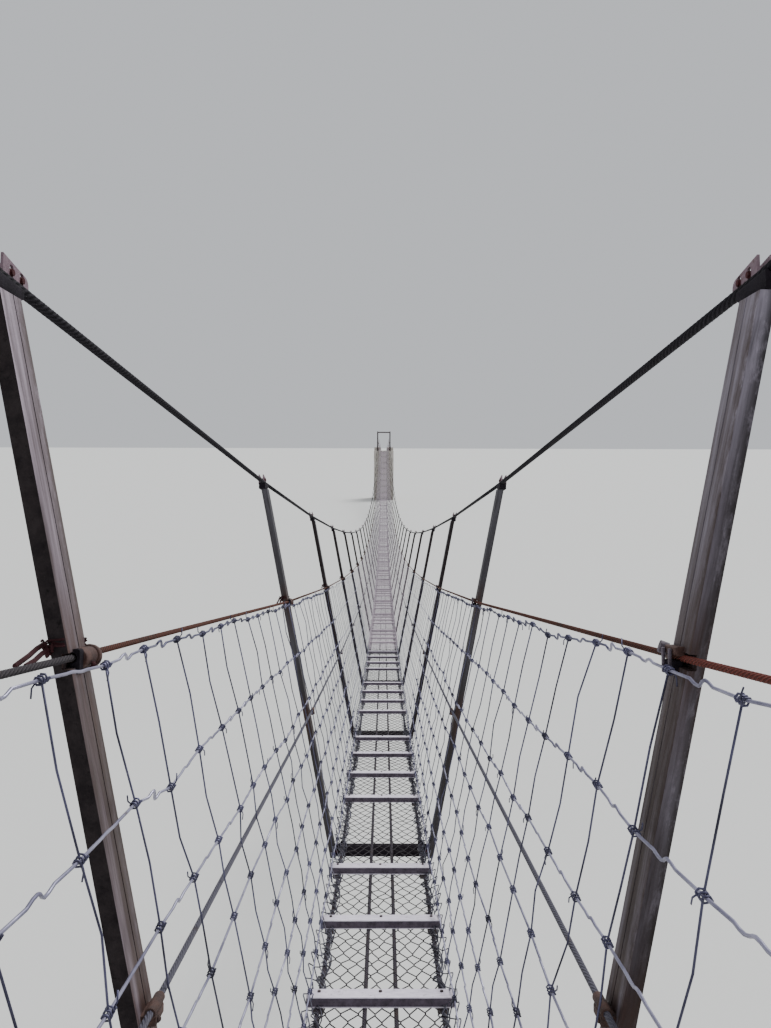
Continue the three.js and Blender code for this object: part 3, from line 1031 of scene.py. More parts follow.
    def binding(self) -> Object:
        """Models the binding: wire around the leg, a coil at its inner corner and two tails.

        Returns:
            The wires.
        """
        wires = WireMesh()
        around = np.linspace(*self.binding_ends, 33)
        corner = np.column_stack([np.cos(TURN * around), np.sin(TURN * around)])
        corner = np.sign(corner) * np.abs(corner) ** self.binding_square
        rng = np.random.default_rng(5)
        for turn in range(self.binding_turns):
            sway = rng.normal(0, 0.0003, 2)
            rise = 0.0019 + self.binding_step * turn + sway[0] * corner[:, 0] + sway[1] * corner[:, 1]
            reach = 0.0002 + 0.0002 * (turn % 2)
            x = 0.0011 + self.lean * rise + corner[:, 0] * (self.thickness / 2 + reach)
            line = np.column_stack([x, corner[:, 1] * (self.depth / 2 + reach), rise])
            wires.add([line], self.binding_radius, 4, UP)
        twist = np.linspace(0, 1, 49)
        for start_turn, width in self.coils:
            angle = TURN * (start_turn + twist * self.coil_turns)
            coil = np.column_stack([0.0007 * np.sin(angle * 0.3), width * np.cos(angle),
                                    width * np.sin(angle)])
            line = self.coil_centre + coil + np.outer(twist - 0.5, self.coil_reach)
            wires.add([line], self.coil_radius, 4, (1.0, 0.1, 0.1))
        for shift in self.tails:
            tail = np.array([(0.0030, -0.0036, 0.0016), (0.0032, -0.0062, 0.0010), (0.0030, -0.0095, 0.0002),
                             (0.0026 + shift, -0.0135, -0.0002 - shift)])
            wires.add([tail + (shift, 0, shift)], self.tail_radius, 6, UP)
        return wires.make("binding", [self.paints["binding"]])

    def strap_lug(self) -> Object:
        """Models the right handrail fitting: a stained block, a dark heel, two straps and a domed nut.

        Returns:
            The fitting.
        """
        parts = []
        for shape, width, use in ((self.stained_block, 0.0006, "barrel"), (self.heel, 0.0005, "saddle")):
            part = round_edges(block(*shape), width, 3, lambda at, way: at.x < -0.001)
            parts.append(dress(part, self.paints[use]))
        for y in self.straps:
            parts.append(dress(round_edges(block(*self.strap, (0, y, 0)), 0.0002, 2), self.paints["strap"]))
        dome = round_edges(rod(*self.dome), 0.0006, 4, lambda at, way: at.x < -0.0017)
        collar = round_edges(rod(*self.collar), 0.0003, 2, lambda at, way: at.y > 0.0058)
        parts += [dress(dome, self.paints["strap"]), dress(collar, self.paints["lug"])]
        return merge("rail_lug", parts)

    def mid_lug(self) -> Object:
        """Models the bracket and the sleeve of a middle cable.

        Returns:
            The bracket.
        """
        rust = self.paints["lug"]
        bracket = round_edges(block(*self.bracket), 0.0004, 2)
        sleeve = round_edges(rod(*self.sleeve), 0.0003, 2, lambda at, way: abs(at.y) > 0.0029)
        parts = [dress(bracket, rust), dress(sleeve, rust)]
        parts.append(bolt_head((-0.0008, -0.0014, -0.0015), (-0.0006, 0, 0), rust, 0.0006))
        return merge("mid_lug", parts)

    def build(self) -> None:
        """Builds every frame and hides the plain ones."""
        known = set(bpy.data.objects)
        right_leg = self.leg()
        left_leg = mirrored(right_leg)
        for index, use in enumerate(self.leg_finishes):
            left_leg.data.materials[index] = self.paints[f"{use}_left"]
        bar, clamp, lug = self.foot_bar(), self.main_clamp(), self.mid_lug()
        fittings = [(clamp, MAIN, 1), (mirrored(clamp), MAIN, -1), (self.barrel_lug(), HANDRAIL, -1),
                    (self.strap_lug(), HANDRAIL, 1), (lug, MIDDLE, 1), (mirrored(lug), MIDDLE, -1)]
        for k in range(1, SPAN.bays):
            tilt = SPAN.tilts[k]
            lean = Matrix.Rotation(SPAN.frame_lean * tilt, 4, "X")
            place = Matrix.Translation((0, SPAN.stations[k], SPAN.levels[k])) @ lean
            turn = Matrix.Rotation(tilt - SPAN.frame_lean * tilt, 4, "X")
            parts = [copied(part, place) for part in (right_leg, left_leg, bar)]
            for part, cable, sign in fittings:
                seat = Matrix.Translation((sign * cable.half, 0, cable.rise))
                parts.append(copied(part, place @ seat @ turn))
            whole = merge(f"steel_frame_{k:02d}", parts)
            known.add(whole)
            # Frames past the first take darker copies of the leg finishes as painted shade, and past the
            # second their narrow faces go near black.
            if k > 1:
                far = self.paints["leg_far"]
                edge = far if k == 2 else self.paints["leg_edge_left"]
                swap_finish(whole, {self.paints[f"leg_{side.label}"]: far for side in Side})
                swap_finish(whole, {self.paints[f"leg_edge_{side.label}"]: edge for side in Side})
            settle(whole, "galvanised_steel", f"v_frame_{k:02d}")
        # The single parts that the frames were copied from go again.
        for part in set(bpy.data.objects) - known:
            bpy.data.objects.remove(part)


@dataclass
class Ropes:
    """The cables, each made from end to end with its strands."""

    paints: Paints
    fine_until: float = -3.72  # strands are real shapes from the near tower to here
    steps_per_lay: int = 13
    coarse_step: float = 0.1
    profile: tuple[float, ...] = (1.0, 0.95) * 6  # radii around a stranded section, as shares
    round_share: float = 0.97  # and the one radius of a round section

    def route(self, cable: Cable, side: Side) -> Array:
        """Gives the corners of a cable from anchor block to anchor block.

        Args:
            cable: The cable.
            side: Its side of the walkway.

        Returns:
            The corners, as points by three.
        """
        leans = SPAN.leans(SPAN.stations)
        heights = SPAN.levels + cable.rise * np.cos(leans)
        heights[[0, -1]] = SPAN.end_height + cable.tower_rise
        half = np.full(SPAN.bays + 1, side.value * cable.half)
        line = np.column_stack([half, SPAN.stations - cable.rise * np.sin(leans), heights])
        anchor = np.array([side.value * cable.anchor_half, SPAN.anchor_front,
                           SPAN.end_height + cable.anchor_rise])
        return np.vstack([anchor * (1, -1, 1), line, anchor])

    @staticmethod
    def resample(corners: Array, start: float, end: float, step: float) -> Array:
        """Cuts a stretch out of a route, with points at a step and at the route's corners.

        Args:
            corners: The route's corners.
            start: Where the stretch starts along Y.
            end: Where it ends along Y.
            step: The longest step along Y.

        Returns:
            The stretch's points.
        """
        marks = [y for y in corners[:, 1] if start < y < end]
        count = max(2, math.ceil((end - start) / step) + 1)
        y = np.unique(np.concatenate([np.linspace(start, end, count), marks]))
        y = y[np.concatenate([[True], np.diff(y) > step * 0.2])]
        return np.column_stack([np.interp(y, corners[:, 1], corners[:, axis]) for axis in range(3)])

    def rope(self, cable: Cable, side: Side) -> Object:
        """Makes one rope: real strands near the camera, a round rope beyond.

        Args:
            cable: The cable.
            side: Its side of the walkway.

        Returns:
            The rope.
        """
        wires = WireMesh()
        corners = self.route(cable, side)
        first, tower, frame_one, last = corners[[0, 1, 2, -1], 1]
        for slot, start, end in ((1, tower, frame_one), (0, frame_one, self.fine_until)):
            line = self.resample(corners, start, end, cable.lay / self.steps_per_lay)
            wires.add([line], cable.radius * np.array(self.profile), 12, UP, slot, 1 / cable.lay)
        for slot, start, end in ((1, first, tower), (0, self.fine_until, last)):
            line = self.resample(corners, start, end, self.coarse_step)
            wires.add([line], cable.radius * self.round_share, 12, UP, slot)
        usual = self.paints[cable.name]
        near = self.paints.get(f"{cable.name}_near_{side.label}", usual)
        return wires.make(f"{cable.name}_rope_{side.label}", [usual, near])

    def build(self) -> None:
        """Builds the six cables above the deck."""
        for side in Side:
            for cable in (MAIN, HANDRAIL, MIDDLE):
                settle(self.rope(cable, side), cable.slot, f"{cable.name}_cable_{side.label}")


@dataclass
class Deck:
    """The treads and the four foot ropes that carry them. A tread is measured from the middle of its top."""

    paints: Paints
    rope_lines: tuple[float, ...] = (-0.0204, -0.0051, 0.0051, 0.0204)
    rope_radius: float = 0.00075
    rope_drop: float = 0.0040
    rope_points: int = 174
    front: float = 4.3347  # where the foot ropes enter the abutments
    tread_length: float = 0.0484
    tread_width: float = 0.0060
    tread_depth: float = 0.0032
    treads_per_bay: int = 4
    tread_pitch: float = 0.060
    tread_setback: float = 0.0445
    wall: float = 0.0004
    hem: Box = ((-0.0242, -0.0033, -0.0032), (0.0242, -0.0029, -0.0029))  # along a tread's near edge
    bolt: Rod = (0.0006, (0, 0.0008, -0.0002), (0, 0.0008, 0.0005), 8)
    bolts: Point = (-0.0202, 0, 0.0202)
    clamp: Box = ((-0.0019, -0.0024, -0.0056), (0.0019, 0.0022, -0.0030))
    clamps: Pair = (-0.0205, 0.0205)
    stray: Pair = (0.006, 0.0003)  # how far a tread is turned askew and shifted, at a guess

    def tread(self) -> Object:
        """Models one tread: a folded channel, open below, with three bolts and a clamp under each end.

        Returns:
            The tread, with the middle of its top at the origin.
        """
        half, wide, deep = self.tread_length / 2, self.tread_width / 2, self.tread_depth
        body = block((-half, -wide, -deep), (half, wide, 0))
        round_edges(body, 0.0005, 2, lambda at, way: abs(way.x) > ALIGNED and at.z > -0.001)
        with editing(body) as shape:
            pick_faces(shape, looks(Z, -1))
            bpy.ops.mesh.inset(thickness=self.wall, depth=0)
            bpy.ops.mesh.extrude_region_move(TRANSFORM_OT_translate={"value": (0, 0, deep - self.wall)})
        dress(body, self.paints["tread"])
        body.data.materials.append(self.paints["lip"])
        # The top takes the tread finish, bright partly as a painted reflection of the sky; the other faces
        # take the lip finish, painted dark as shade.
        for polygon in body.data.polygons:
            is_top = polygon.center.z > -0.00035 and polygon.normal.z > 0.3
            polygon.material_index = 0 if is_top else 1
        parts = [body, dress(block(*self.hem), self.paints["tread"])]
        for x in self.bolts:
            head = rod(*self.bolt, (x, 0, 0))
            round_edges(head, 0.0002, 1, lambda at, way: at.z > 0.0004)
            parts.append(dress(head, self.paints["dark"]))
        for x in self.clamps:
            clamp = block(*self.clamp, (x, 0, 0))
            round_edges(clamp, 0.0007, 2, lambda at, way: abs(way.y) > ALIGNED and at.z < -0.005)
            parts.append(dress(clamp, self.paints["dark"]))
        return merge("tread", parts)

    def build(self) -> None:
        """Builds the treads section by section, and the foot ropes from end to end."""
        tread = self.tread()
        step = 0.001
        rng = np.random.default_rng(11)
        for number, first, last in SPAN.sections():
            parts = []
            for k, i in np.ndindex(last - first, self.treads_per_bay):
                y = SPAN.stations[first + k + 1] - self.tread_setback - i * self.tread_pitch
                slope = math.atan2(SPAN.deck(y + step) - SPAN.deck(y - step), 2 * step)
                askew, shift = rng.normal(0, self.stray)
                place = Matrix.Translation((shift, y, SPAN.deck(y)))
                turn = Matrix.Rotation(slope, 4, "X") @ Matrix.Rotation(askew, 4, "Z")
                parts.append(copied(tread, place @ turn))
            treads = merge(f"treads_{number}", parts)
            # Far treads get lips painted bright with sunlight in place of painted shade.
            if number >= SPAN.bright_from:
                swap_finish(treads, {self.paints[use]: self.paints[f"far_{use}"] for use in ("lip", "tread")})
            settle(treads, "tread_steel", f"deck_section_{number}")
        bpy.data.objects.remove(tread)
        ropes = WireMesh()
        marks = np.linspace(-self.front, self.front, self.rope_points)
        y = np.unique(np.concatenate([marks, SPAN.stations[1:-1]]))
        for x in self.rope_lines:
            line = np.column_stack([np.full(len(y), x), y, SPAN.deck(y) - self.rope_drop])
            ropes.add([line], self.rope_radius, 10, UP)
        settle(ropes.make("foot_ropes", [self.paints["foot"]]), "galvanised_wire_rope")


@dataclass
class DeckNetting:
    """Wire netting under the treads: strands that meet their neighbours in turn, turned up at the sides."""

    paints: Paints
    deck: Deck
    strands: int = 21
    edge_strands: int = 3  # strands at each side, which are a little brighter
    spacing: float = 0.00263  # half the width of a cell
    half_cell: float = 0.00487  # half the length of a cell
    far_stretch: float = 1.2  # the far cells are a little longer, to need fewer of them
    flat_half: float = 0.0212
    level: float = -0.00332
    radius: float = 0.00024
    far_radius: float = 0.00036  # for the far sections, where a thinner wire can't be seen
    outward: float = 0.5  # run of the turned-up sides for their rise
    sag: float = 0.0009
    stray: Pair = (0.00028, 0.0005)  # how far a meeting point is off, across and along
    waves: tuple[tuple[float, ...], ...] = ((61, 90, 0, 0.0005), (23, 0, 1.7, 0.0004))  # and its slow swing
    lead: Point = (0.03, 0.13, 0.13)  # share of a strand that lies along its neighbour
    pitches: tuple[float, ...] = (0.009, 0.013, 0.017, 0.023, 0.031)  # windings of the lacing wires
    lace_gap: float = 0.0003  # between the rope and the wires around it
    lace_steps: Pair = (0.0016, 0.05)  # between their points, near and far
    rng: Rng = field(default_factory=lambda: np.random.default_rng(3))

    def shape(self, across: Array, y: Array, slack: Array) -> Array:
        """Places points of the net, flat under the treads and turned up beyond the outer ropes.

        Args:
            across: Distance across the net.
            y: Place along the bridge.
            slack: How far each point hangs, from 0 to 1.

        Returns:
            The points.
        """
        away = np.abs(across)
        climb = np.clip(away - self.flat_half, 0, None)
        x = np.minimum(away, self.flat_half) + self.outward * climb
        inner, outer = self.deck.rope_lines[2:]
        share = np.where(away < inner, (away + inner) / (2 * inner), (away - inner) / (outer - inner))
        droop = self.sag * slack * np.sin(np.pi * np.clip(share, 0, 1)) ** 2
        return np.stack([np.sign(across) * x, y, SPAN.deck(y) + self.level - droop + climb], axis=-1)

    def section(self, first: float, last: float, detail: Detail) -> Array:
        """Makes the strands between two places along the bridge.

        Args:
            first: Where the strands start along Y.
            last: Where they end along Y.
            detail: Near strands have rounded corners where they meet.

        Returns:
            Centre lines, as strands by points by three.
        """
        rows = round((last - first) / self.half_cell / (1 if detail is Detail.NEAR else self.far_stretch))
        gaps = self.strands + 1
        across = (np.arange(gaps)[:, None] - self.strands / 2) * self.spacing + np.zeros(rows + 1)
        y = np.linspace(first, last, rows + 1) + np.zeros((gaps, 1))
        waves = sum(np.sin(y * along + across * over + start) * size
                    for along, over, start, size in self.waves)
        across = across + self.rng.normal(0, self.stray[0], across.shape) + waves
        inside = (np.arange(rows + 1) > 0) & (np.arange(rows + 1) < rows)
        y = y + self.rng.normal(0, self.stray[1], y.shape) * inside
        slack = self.rng.uniform(0.3, 1.0, across.shape)
        strand, row = np.arange(self.strands)[:, None], np.arange(rows + 1)[None]
        gap = strand + ((strand + row) % 2 == 0)
        meeting = self.shape(across[gap, row], y[gap, row], slack[gap, row])
        if detail is Detail.FAR:
            return meeting
        back = np.concatenate([meeting[:, :1], meeting[:, :-1]], axis=1)
        front = np.concatenate([meeting[:, 1:], meeting[:, -1:]], axis=1)
        leads = [meeting + (other - meeting) * self.lead for other in (back, front)]
        return np.stack(leads, axis=2).reshape(self.strands, -1, 3)[:, 1:-1]

    def build(self) -> None:
        """Builds the netting and the wires that lace it to the outer foot ropes."""
        edge = self.edge_strands
        for number, first, last in SPAN.sections():
            wires = WireMesh()
            is_bright = number >= SPAN.bright_from
            start = SPAN.stations[first] if first else -self.deck.front
            end = SPAN.stations[last] if last < SPAN.bays else self.deck.front
            near = min(end, SPAN.near_end)
            stretches = [(max(start, near), end, Detail.FAR)]
            if start < near:
                stretches.insert(0, (start, near, Detail.NEAR))
            for low, high, detail in stretches:
                lines = self.section(low, high, detail)
                radius = self.far_radius if is_bright else self.radius
                wires.add(lines[edge:-edge], radius, 3, UP, 0)
                wires.add(np.concatenate([lines[:edge], lines[-edge:]]), radius, 3, ACROSS, 1)
                self.lacing(wires, low, high, detail)
            # Far netting takes the lighter wire finish, painted as lit by the sun.
            finish = ["far_wire", "far_wire"] if is_bright else ["netting", "edging"]
            settle(wires.make(f"deck_netting_{number}", [self.paints[use] for use in finish]), "net_wire")

    def lacing(self, wires: WireMesh, first: float, last: float, detail: Detail) -> None:
        """Adds loose wires along the outer foot ropes.

        Args:
            wires: The mesh that takes them.
            first: Where they start along Y.
            last: Where they end along Y.
            detail: Near wires wind around the rope.
        """
        step = self.lace_steps[detail is Detail.FAR]
        y = np.linspace(first, last, math.ceil((last - first) / step) + 1)
        centre = SPAN.deck(y) - self.deck.rope_drop
        for x in (self.deck.rope_lines[0], self.deck.rope_lines[-1]):
            for winding, pitch in enumerate(self.pitches):
                reach = self.deck.rope_radius + self.lace_gap + self.lace_gap * winding
                angle = TURN * y / pitch + winding * 2.1 + 0.6 * np.sin(y * 40 + winding)
                if detail is Detail.FAR:
                    angle = np.full_like(y, 0.4 + winding) + self.rng.uniform(-0.5, 0.5, y.shape)
                line = np.column_stack([x + reach * np.cos(angle), y, centre + reach * np.sin(angle)])
                wires.add([line], self.radius, 3, UP, 1)


@dataclass
class SideNet:
    """The net of one side: crimped line wires, and thin stays knotted to them."""

    paints: Paints
    side: Side
    top: Pair = (0.0472, 0.1222)  # distance from the middle of the bridge, and height above the walkway
    bend: Pair = (0.0353, 0.0666)
    foot: Pair = (0.0222, 0.001)
    rises: tuple[float, ...] = (0.004, 0.0155, 0.028, 0.042, 0.058, 0.076, 0.0975, 0.1222)
    cell: float = 0.025
    line_radius: float = 0.00028
    stay_radius: float = 0.0002
    crimp: float = 0.0009
    shaded_after: float = 0.045  # past the first frame, from where the top wire takes the stays' darker finish as painted shade
    tight: Pair = (0.003, 0.010)  # how far before a frame a line wire is pulled straight
    knot_half: float = 0.0014
    knot_radius: float = 0.00065
    knot_turns: int = 3
    tail: tuple[Point, ...] = ((0.4, 0.6, 0.0), (0.9, 1.2, 0.9), (0.8, 1.8, 2.2))  # a knot's end, in mm
    bead_radius: float = 0.00042  # knots far from the camera
    clear: float = 0.0153  # nets stop short of the tower posts
    first_stays: Pair = (0.0048, 0.0203)  # place of the first stay past the tower, left and right
    slow: Point = (0.0009, 11, 120)  # slow swing of the line wires: its size, and its speed along and up
    sway: Point = (0.0005, 0.0008, 0.0007)  # how far a knot is off in height, a stay along, a knot along
    inward: float = 0.0006  # how far a knot is pulled in at most
    gap_size: Pair = (0.5, 1.2)  # least and most crimp of a gap, as shares
    tight_size: float = 0.15  # and its share where the wire is pulled straight
    wavy: Pair = (0.34, 0.66)  # part of a gap that is crimped

    def __post_init__(self) -> None:
        """Gives the side its own source of wobble."""
        self.rng = np.random.default_rng(20 + self.side.value)

    def reach(self, rise: Array) -> Array:
        """Distance of the net from the middle of the bridge at a height above the walkway."""
        halves, heights = zip(self.foot, self.bend, self.top)
        return np.interp(rise, heights, halves)

    def knots(self) -> Array:
        """Places the knots of the whole side.

        Returns:
            The knots, as line wires by stays by three.
        """
        rng = self.rng
        first_stay = self.first_stays[self.side is Side.RIGHT]
        y = np.arange(SPAN.stations[0] + first_stay, SPAN.stations[-1], self.cell)
        y = y[(y > SPAN.stations[0] + self.clear) & (y < SPAN.stations[-1] - self.clear)]
        rises = np.array(self.rises)[:, None]
        size, along, up = self.slow
        slow = size * np.sin(y[None] * along + rises * up) * (rises < self.top[1])
        high, stay, knot = self.sway
        rise = rises + slow + rng.normal(0, high, (len(self.rises), len(y)))
        place = y + rng.normal(0, stay, y.shape) + rng.normal(0, knot, rise.shape)
        x = self.side.value * (self.reach(rise) - rng.uniform(0, self.inward, rise.shape))
        lean = SPAN.leans(place)
        return np.stack([x, place - rise * np.sin(lean), SPAN.deck(place) + rise * np.cos(lean)], axis=-1)

    def build(self) -> None:
        """Builds the net section by section."""
        knots = self.knots()
        middle = knots[0, :, 1]
        name = self.side.label
        for number, first, last in SPAN.sections():
            wires = WireMesh()
            start = SPAN.stations[first] + (0 if first else -1)
            end = SPAN.stations[last] + (0 if last < SPAN.bays else 1)
            for low, high, detail in ((start, min(end, SPAN.near_end), Detail.NEAR),
                                      (max(start, SPAN.near_end), end, Detail.FAR)):
                chosen = np.flatnonzero((middle >= low) & (middle < high))
                if len(chosen):
                    self.section(wires, knots, chosen, detail)
            # Far nets take the lighter wire finish, painted as lit by the sun.
            finish = ["wire", "knot"] if number < SPAN.bright_from else ["far_wire", "far_wire"]
            net = wires.make(f"wire_net_{name}_{number}", [self.paints[use] for use in finish])
            settle(net, "net_wire", f"side_net_{name}_{number}")

    def section(self, wires: WireMesh, knots: Array, chosen: Array, detail: Detail) -> None:
        """Adds the line wires, stays and knots of some columns of knots.

        Args:
            wires: The mesh that takes them.
            knots: All knots of the side.
            chosen: Numbers of the columns.
            detail: How finely they are drawn.
        """
        near = detail is Detail.NEAR
        last = min(chosen[-1] + 1, knots.shape[1] - 1)
        column = knots[:, chosen[0] : last + 1]
        lines = self.line_wires(column, near)
        wires.add(lines[:-1], self.line_radius, 5 if near else 3, UP, 0)
        # Past the first frame the top wire takes the stays' darker finish, as painted shade.
        cut = np.searchsorted(lines[-1, :, 1], SPAN.stations[1] + self.shaded_after)
        for slot, top in ((0, lines[-1:, : cut + 1]), (1, lines[-1:, cut:])):
            if top.shape[1] > 1:
                wires.add(top, self.line_radius, 5 if near else 3, UP, slot)
        stays = knots[:, chosen].transpose(1, 0, 2)
        feet = stays[:, :1].copy()
        feet[:, :, 0] = self.side.value * self.foot[0]
        feet[:, :, 2] -= self.rises[0] - self.foot[1]
        stays = np.concatenate([feet, stays], axis=1)
        between = (stays[:, :-1] + stays[:, 1:]) / 2
        between += self.rng.normal(0, self.sway[0], between.shape)
        full = np.empty((len(stays), stays.shape[1] * 2 - 1, 3))
        full[:, ::2], full[:, 1::2] = stays, between
        wires.add(full if near else stays, self.stay_radius, 4 if near else 3, ALONG, 1)
        centres = knots[:, chosen].reshape(-1, 1, 3)
        if near:
            turns = np.linspace(0, 1, 19)
            angle = turns * TURN * self.knot_turns
            coil = np.column_stack([np.cos(angle) * self.knot_radius, (turns - 0.5) * 2 * self.knot_half,
                                    np.sin(angle) * self.knot_radius])
            wires.add(centres + coil, self.stay_radius, 4, ALONG, 1)
            flips = self.rng.choice((-1.0, 1.0), (len(centres), 1, 3))
            wires.add(centres + np.array(self.tail) * 0.001 * flips, self.stay_radius * 0.8, 3, ACROSS, 1)
        else:
            bead = np.array([(0, -self.knot_half, 0), (0, self.knot_half, 0)])
            wires.add(centres + bead, self.bead_radius, 3, UP, 0)

    def line_wires(self, column: Array, near: bool) -> Array:
        """Draws the line wires through some columns of knots, with a crimp in each gap.

        Args:
            column: The knots, as line wires by stays by three.
            near: Whether the crimps are drawn finely.

        Returns:
            Centre lines, as line wires by points by three.
        """
        start, reach = column[:, :-1], np.diff(column, axis=1)
        steps = 8 if near else 3
        swing = np.sin(TURN * np.linspace(0, 1, steps))
        shares = np.concatenate([[0], np.linspace(*self.wavy, steps)])
        crimp = np.zeros((steps + 1, 3))
        crimp[1:, 2] = self.crimp * swing
        crimp[1:, 0] = self.side.value * -0.4 * self.crimp * swing
        size = self.rng.uniform(*self.gap_size, (*start.shape[:2], 1, 1))
        before = (SPAN.stations[0] - start[0, :, 1] - reach[0, :, 1] / 2) % SPAN.bay
        size[:, (before > self.tight[0]) & (before < self.tight[1])] = self.tight_size
        points = start[:, :, None] + reach[:, :, None] * shares[:, None] + crimp * size
        return np.concatenate([points.reshape(len(self.rises), -1, 3), column[:, -1:]], axis=1)


@dataclass
class Ends:
    """The towers and abutments: plain solids with a finish, and the small steel that fixes them."""

    paints: Paints
    plate_half: float = 0.0105
    plate_thickness: float = 0.0012
    bolt_place: float = 0.78  # share of a plate's half width
    bolt_axis: Point = (0, 0, 0.0014)
    bolt_radius: float = 0.0011
    socket_length: float = 0.016
    socket_taper: float = 0.6

    def plate(self, x: float, y: float) -> list[Object]:
        """Models the base plate of a tower post with its four bolts.

        Args:
            x: Place of the post across the bridge.
            y: Its place along the bridge.

        Returns:
            The plate and the bolt heads.
        """
        reach, floor = self.plate_half, SPAN.end_height
        plate = block((-reach, -reach, 0), (reach, reach, self.plate_thickness), (x, y, floor + GAP))
        parts = [dress(round_edges(plate, 0.0004, 1), self.paints["dark"])]
        for dx, dy in ((-1, -1), (-1, 1), (1, -1), (1, 1)):
            place = reach * self.bolt_place
            at = (x + dx * place, y + dy * place, floor + self.plate_thickness)
            parts.append(bolt_head(at, self.bolt_axis, self.paints["rust"], self.bolt_radius))
        return parts

    def socket(self, cable: Cable, sign: int, end: int) -> Object:
        """Models the tapered socket of a cable at its anchor block.

        Args:
            cable: The cable.
            sign: Its side: -1 is left, 1 is right.
            end: The bridge's end: -1 is near, 1 is far.

        Returns:
            The socket.
        """
        floor = SPAN.end_height
        at = Vector((sign * cable.anchor_half, end * SPAN.anchor_front, floor + cable.anchor_rise))
        top = Vector((sign * cable.half, end * SPAN.half, floor + cable.tower_rise))
        heading = (top - at).normalized()
        socket = rod(cable.socket_radius, at, at + heading * self.socket_length, sides=14)
        with editing(socket) as shape:
            pick_faces(shape, lambda at, normal: normal.dot(heading) > ALIGNED)
            bpy.ops.transform.resize(value=(self.socket_taper,) * 3)
        return dress(socket, self.paints["rust"])

    def build(self) -> None:
        """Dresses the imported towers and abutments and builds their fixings."""
        for label, end in (("near", -1), ("far", 1)):
            dress(frame["nodes"][f"{label}_tower"], self.paints["tower"])
            dress(frame["nodes"][f"{label}_abutment"], self.paints["concrete"])
            parts = []
            for sign in (-1, 1):
                parts += self.plate(sign * MAIN.half, end * SPAN.half)
                parts += [self.socket(cable, sign, end) for cable in (MAIN, HANDRAIL, MIDDLE)]
            settle(merge(f"{label}_fixings", parts), "dark_steel")


@dataclass
class Studio:
    """The camera where the photograph was taken, a plain pale floor and soft light."""

    eye: Point = (0.00062, -4.1733, 0.6054)
    pitch: float = 0.0881  # downwards
    yaw: float = 0.0022  # towards +X
    roll: float = 0.0027
    focal_pixels: float = 832.0
    sensor: float = 36.0  # millimetres along the long side of the picture
    clip: Pair = (0.005, 100)
    surround: str = "#e4e7ec"
    surround_strength: float = 0.8
    sun_strength: float = 3.0
    sun_angle: float = 25.0  # degrees across, for soft shadows
    sun_heading: Point = (-0.35, -0.5, -0.8)
    floor_size: float = 120.0
    floor_level: float = -0.0005

    def camera(self) -> None:
        """Sets the camera at the walker's eye."""
        data = bpy.data.cameras.new("camera")
        data.sensor_width = self.sensor
        data.lens = self.focal_pixels / PHOTO_HEIGHT * self.sensor
        data.clip_start, data.clip_end = self.clip
        view = bpy.data.objects.new("camera", data)
        turn = Matrix.Rotation(-self.yaw, 4, "Z") @ Matrix.Rotation(math.pi / 2 - self.pitch, 4, "X")
        view.matrix_world = Matrix.Translation(self.eye) @ turn @ Matrix.Rotation(self.roll, 4, "Z")
        bpy.context.scene.collection.objects.link(view)
        bpy.context.scene.camera = view

    def light(self) -> None:
        """Adds a pale surround and a broad soft light from above and ahead."""
        world = bpy.data.worlds.new("surround")
        world.use_nodes = True
        background = world.node_tree.nodes["Background"]
        background.inputs["Color"].default_value = linear(self.surround)
        background.inputs["Strength"].default_value = self.surround_strength
        bpy.context.scene.world = world
        data = bpy.data.lights.new("broad_light", "SUN")
        data.energy = self.sun_strength
        data.angle = math.radians(self.sun_angle)
        lamp = bpy.data.objects.new("broad_light", data)
        lamp.rotation_euler = Vector(self.sun_heading).to_track_quat("-Z", "Y").to_euler()
        bpy.context.scene.collection.objects.link(lamp)

    def floor(self) -> None:
        """Lays the plain floor, just below the abutments."""
        bpy.ops.object.select_all(action="DESELECT")
        bpy.ops.mesh.primitive_plane_add(size=self.floor_size, location=(0, 0, self.floor_level))
        floor = bpy.context.object
        floor.name = "floor"
        material = bpy.data.materials.new("matt_floor")
        material.use_nodes = True
        shader = material.node_tree.nodes["Principled BSDF"]
        shader.inputs["Base Color"].default_value = linear("#d9d9d6")
        shader.inputs["Roughness"].default_value = 0.9
        dress(floor, material)


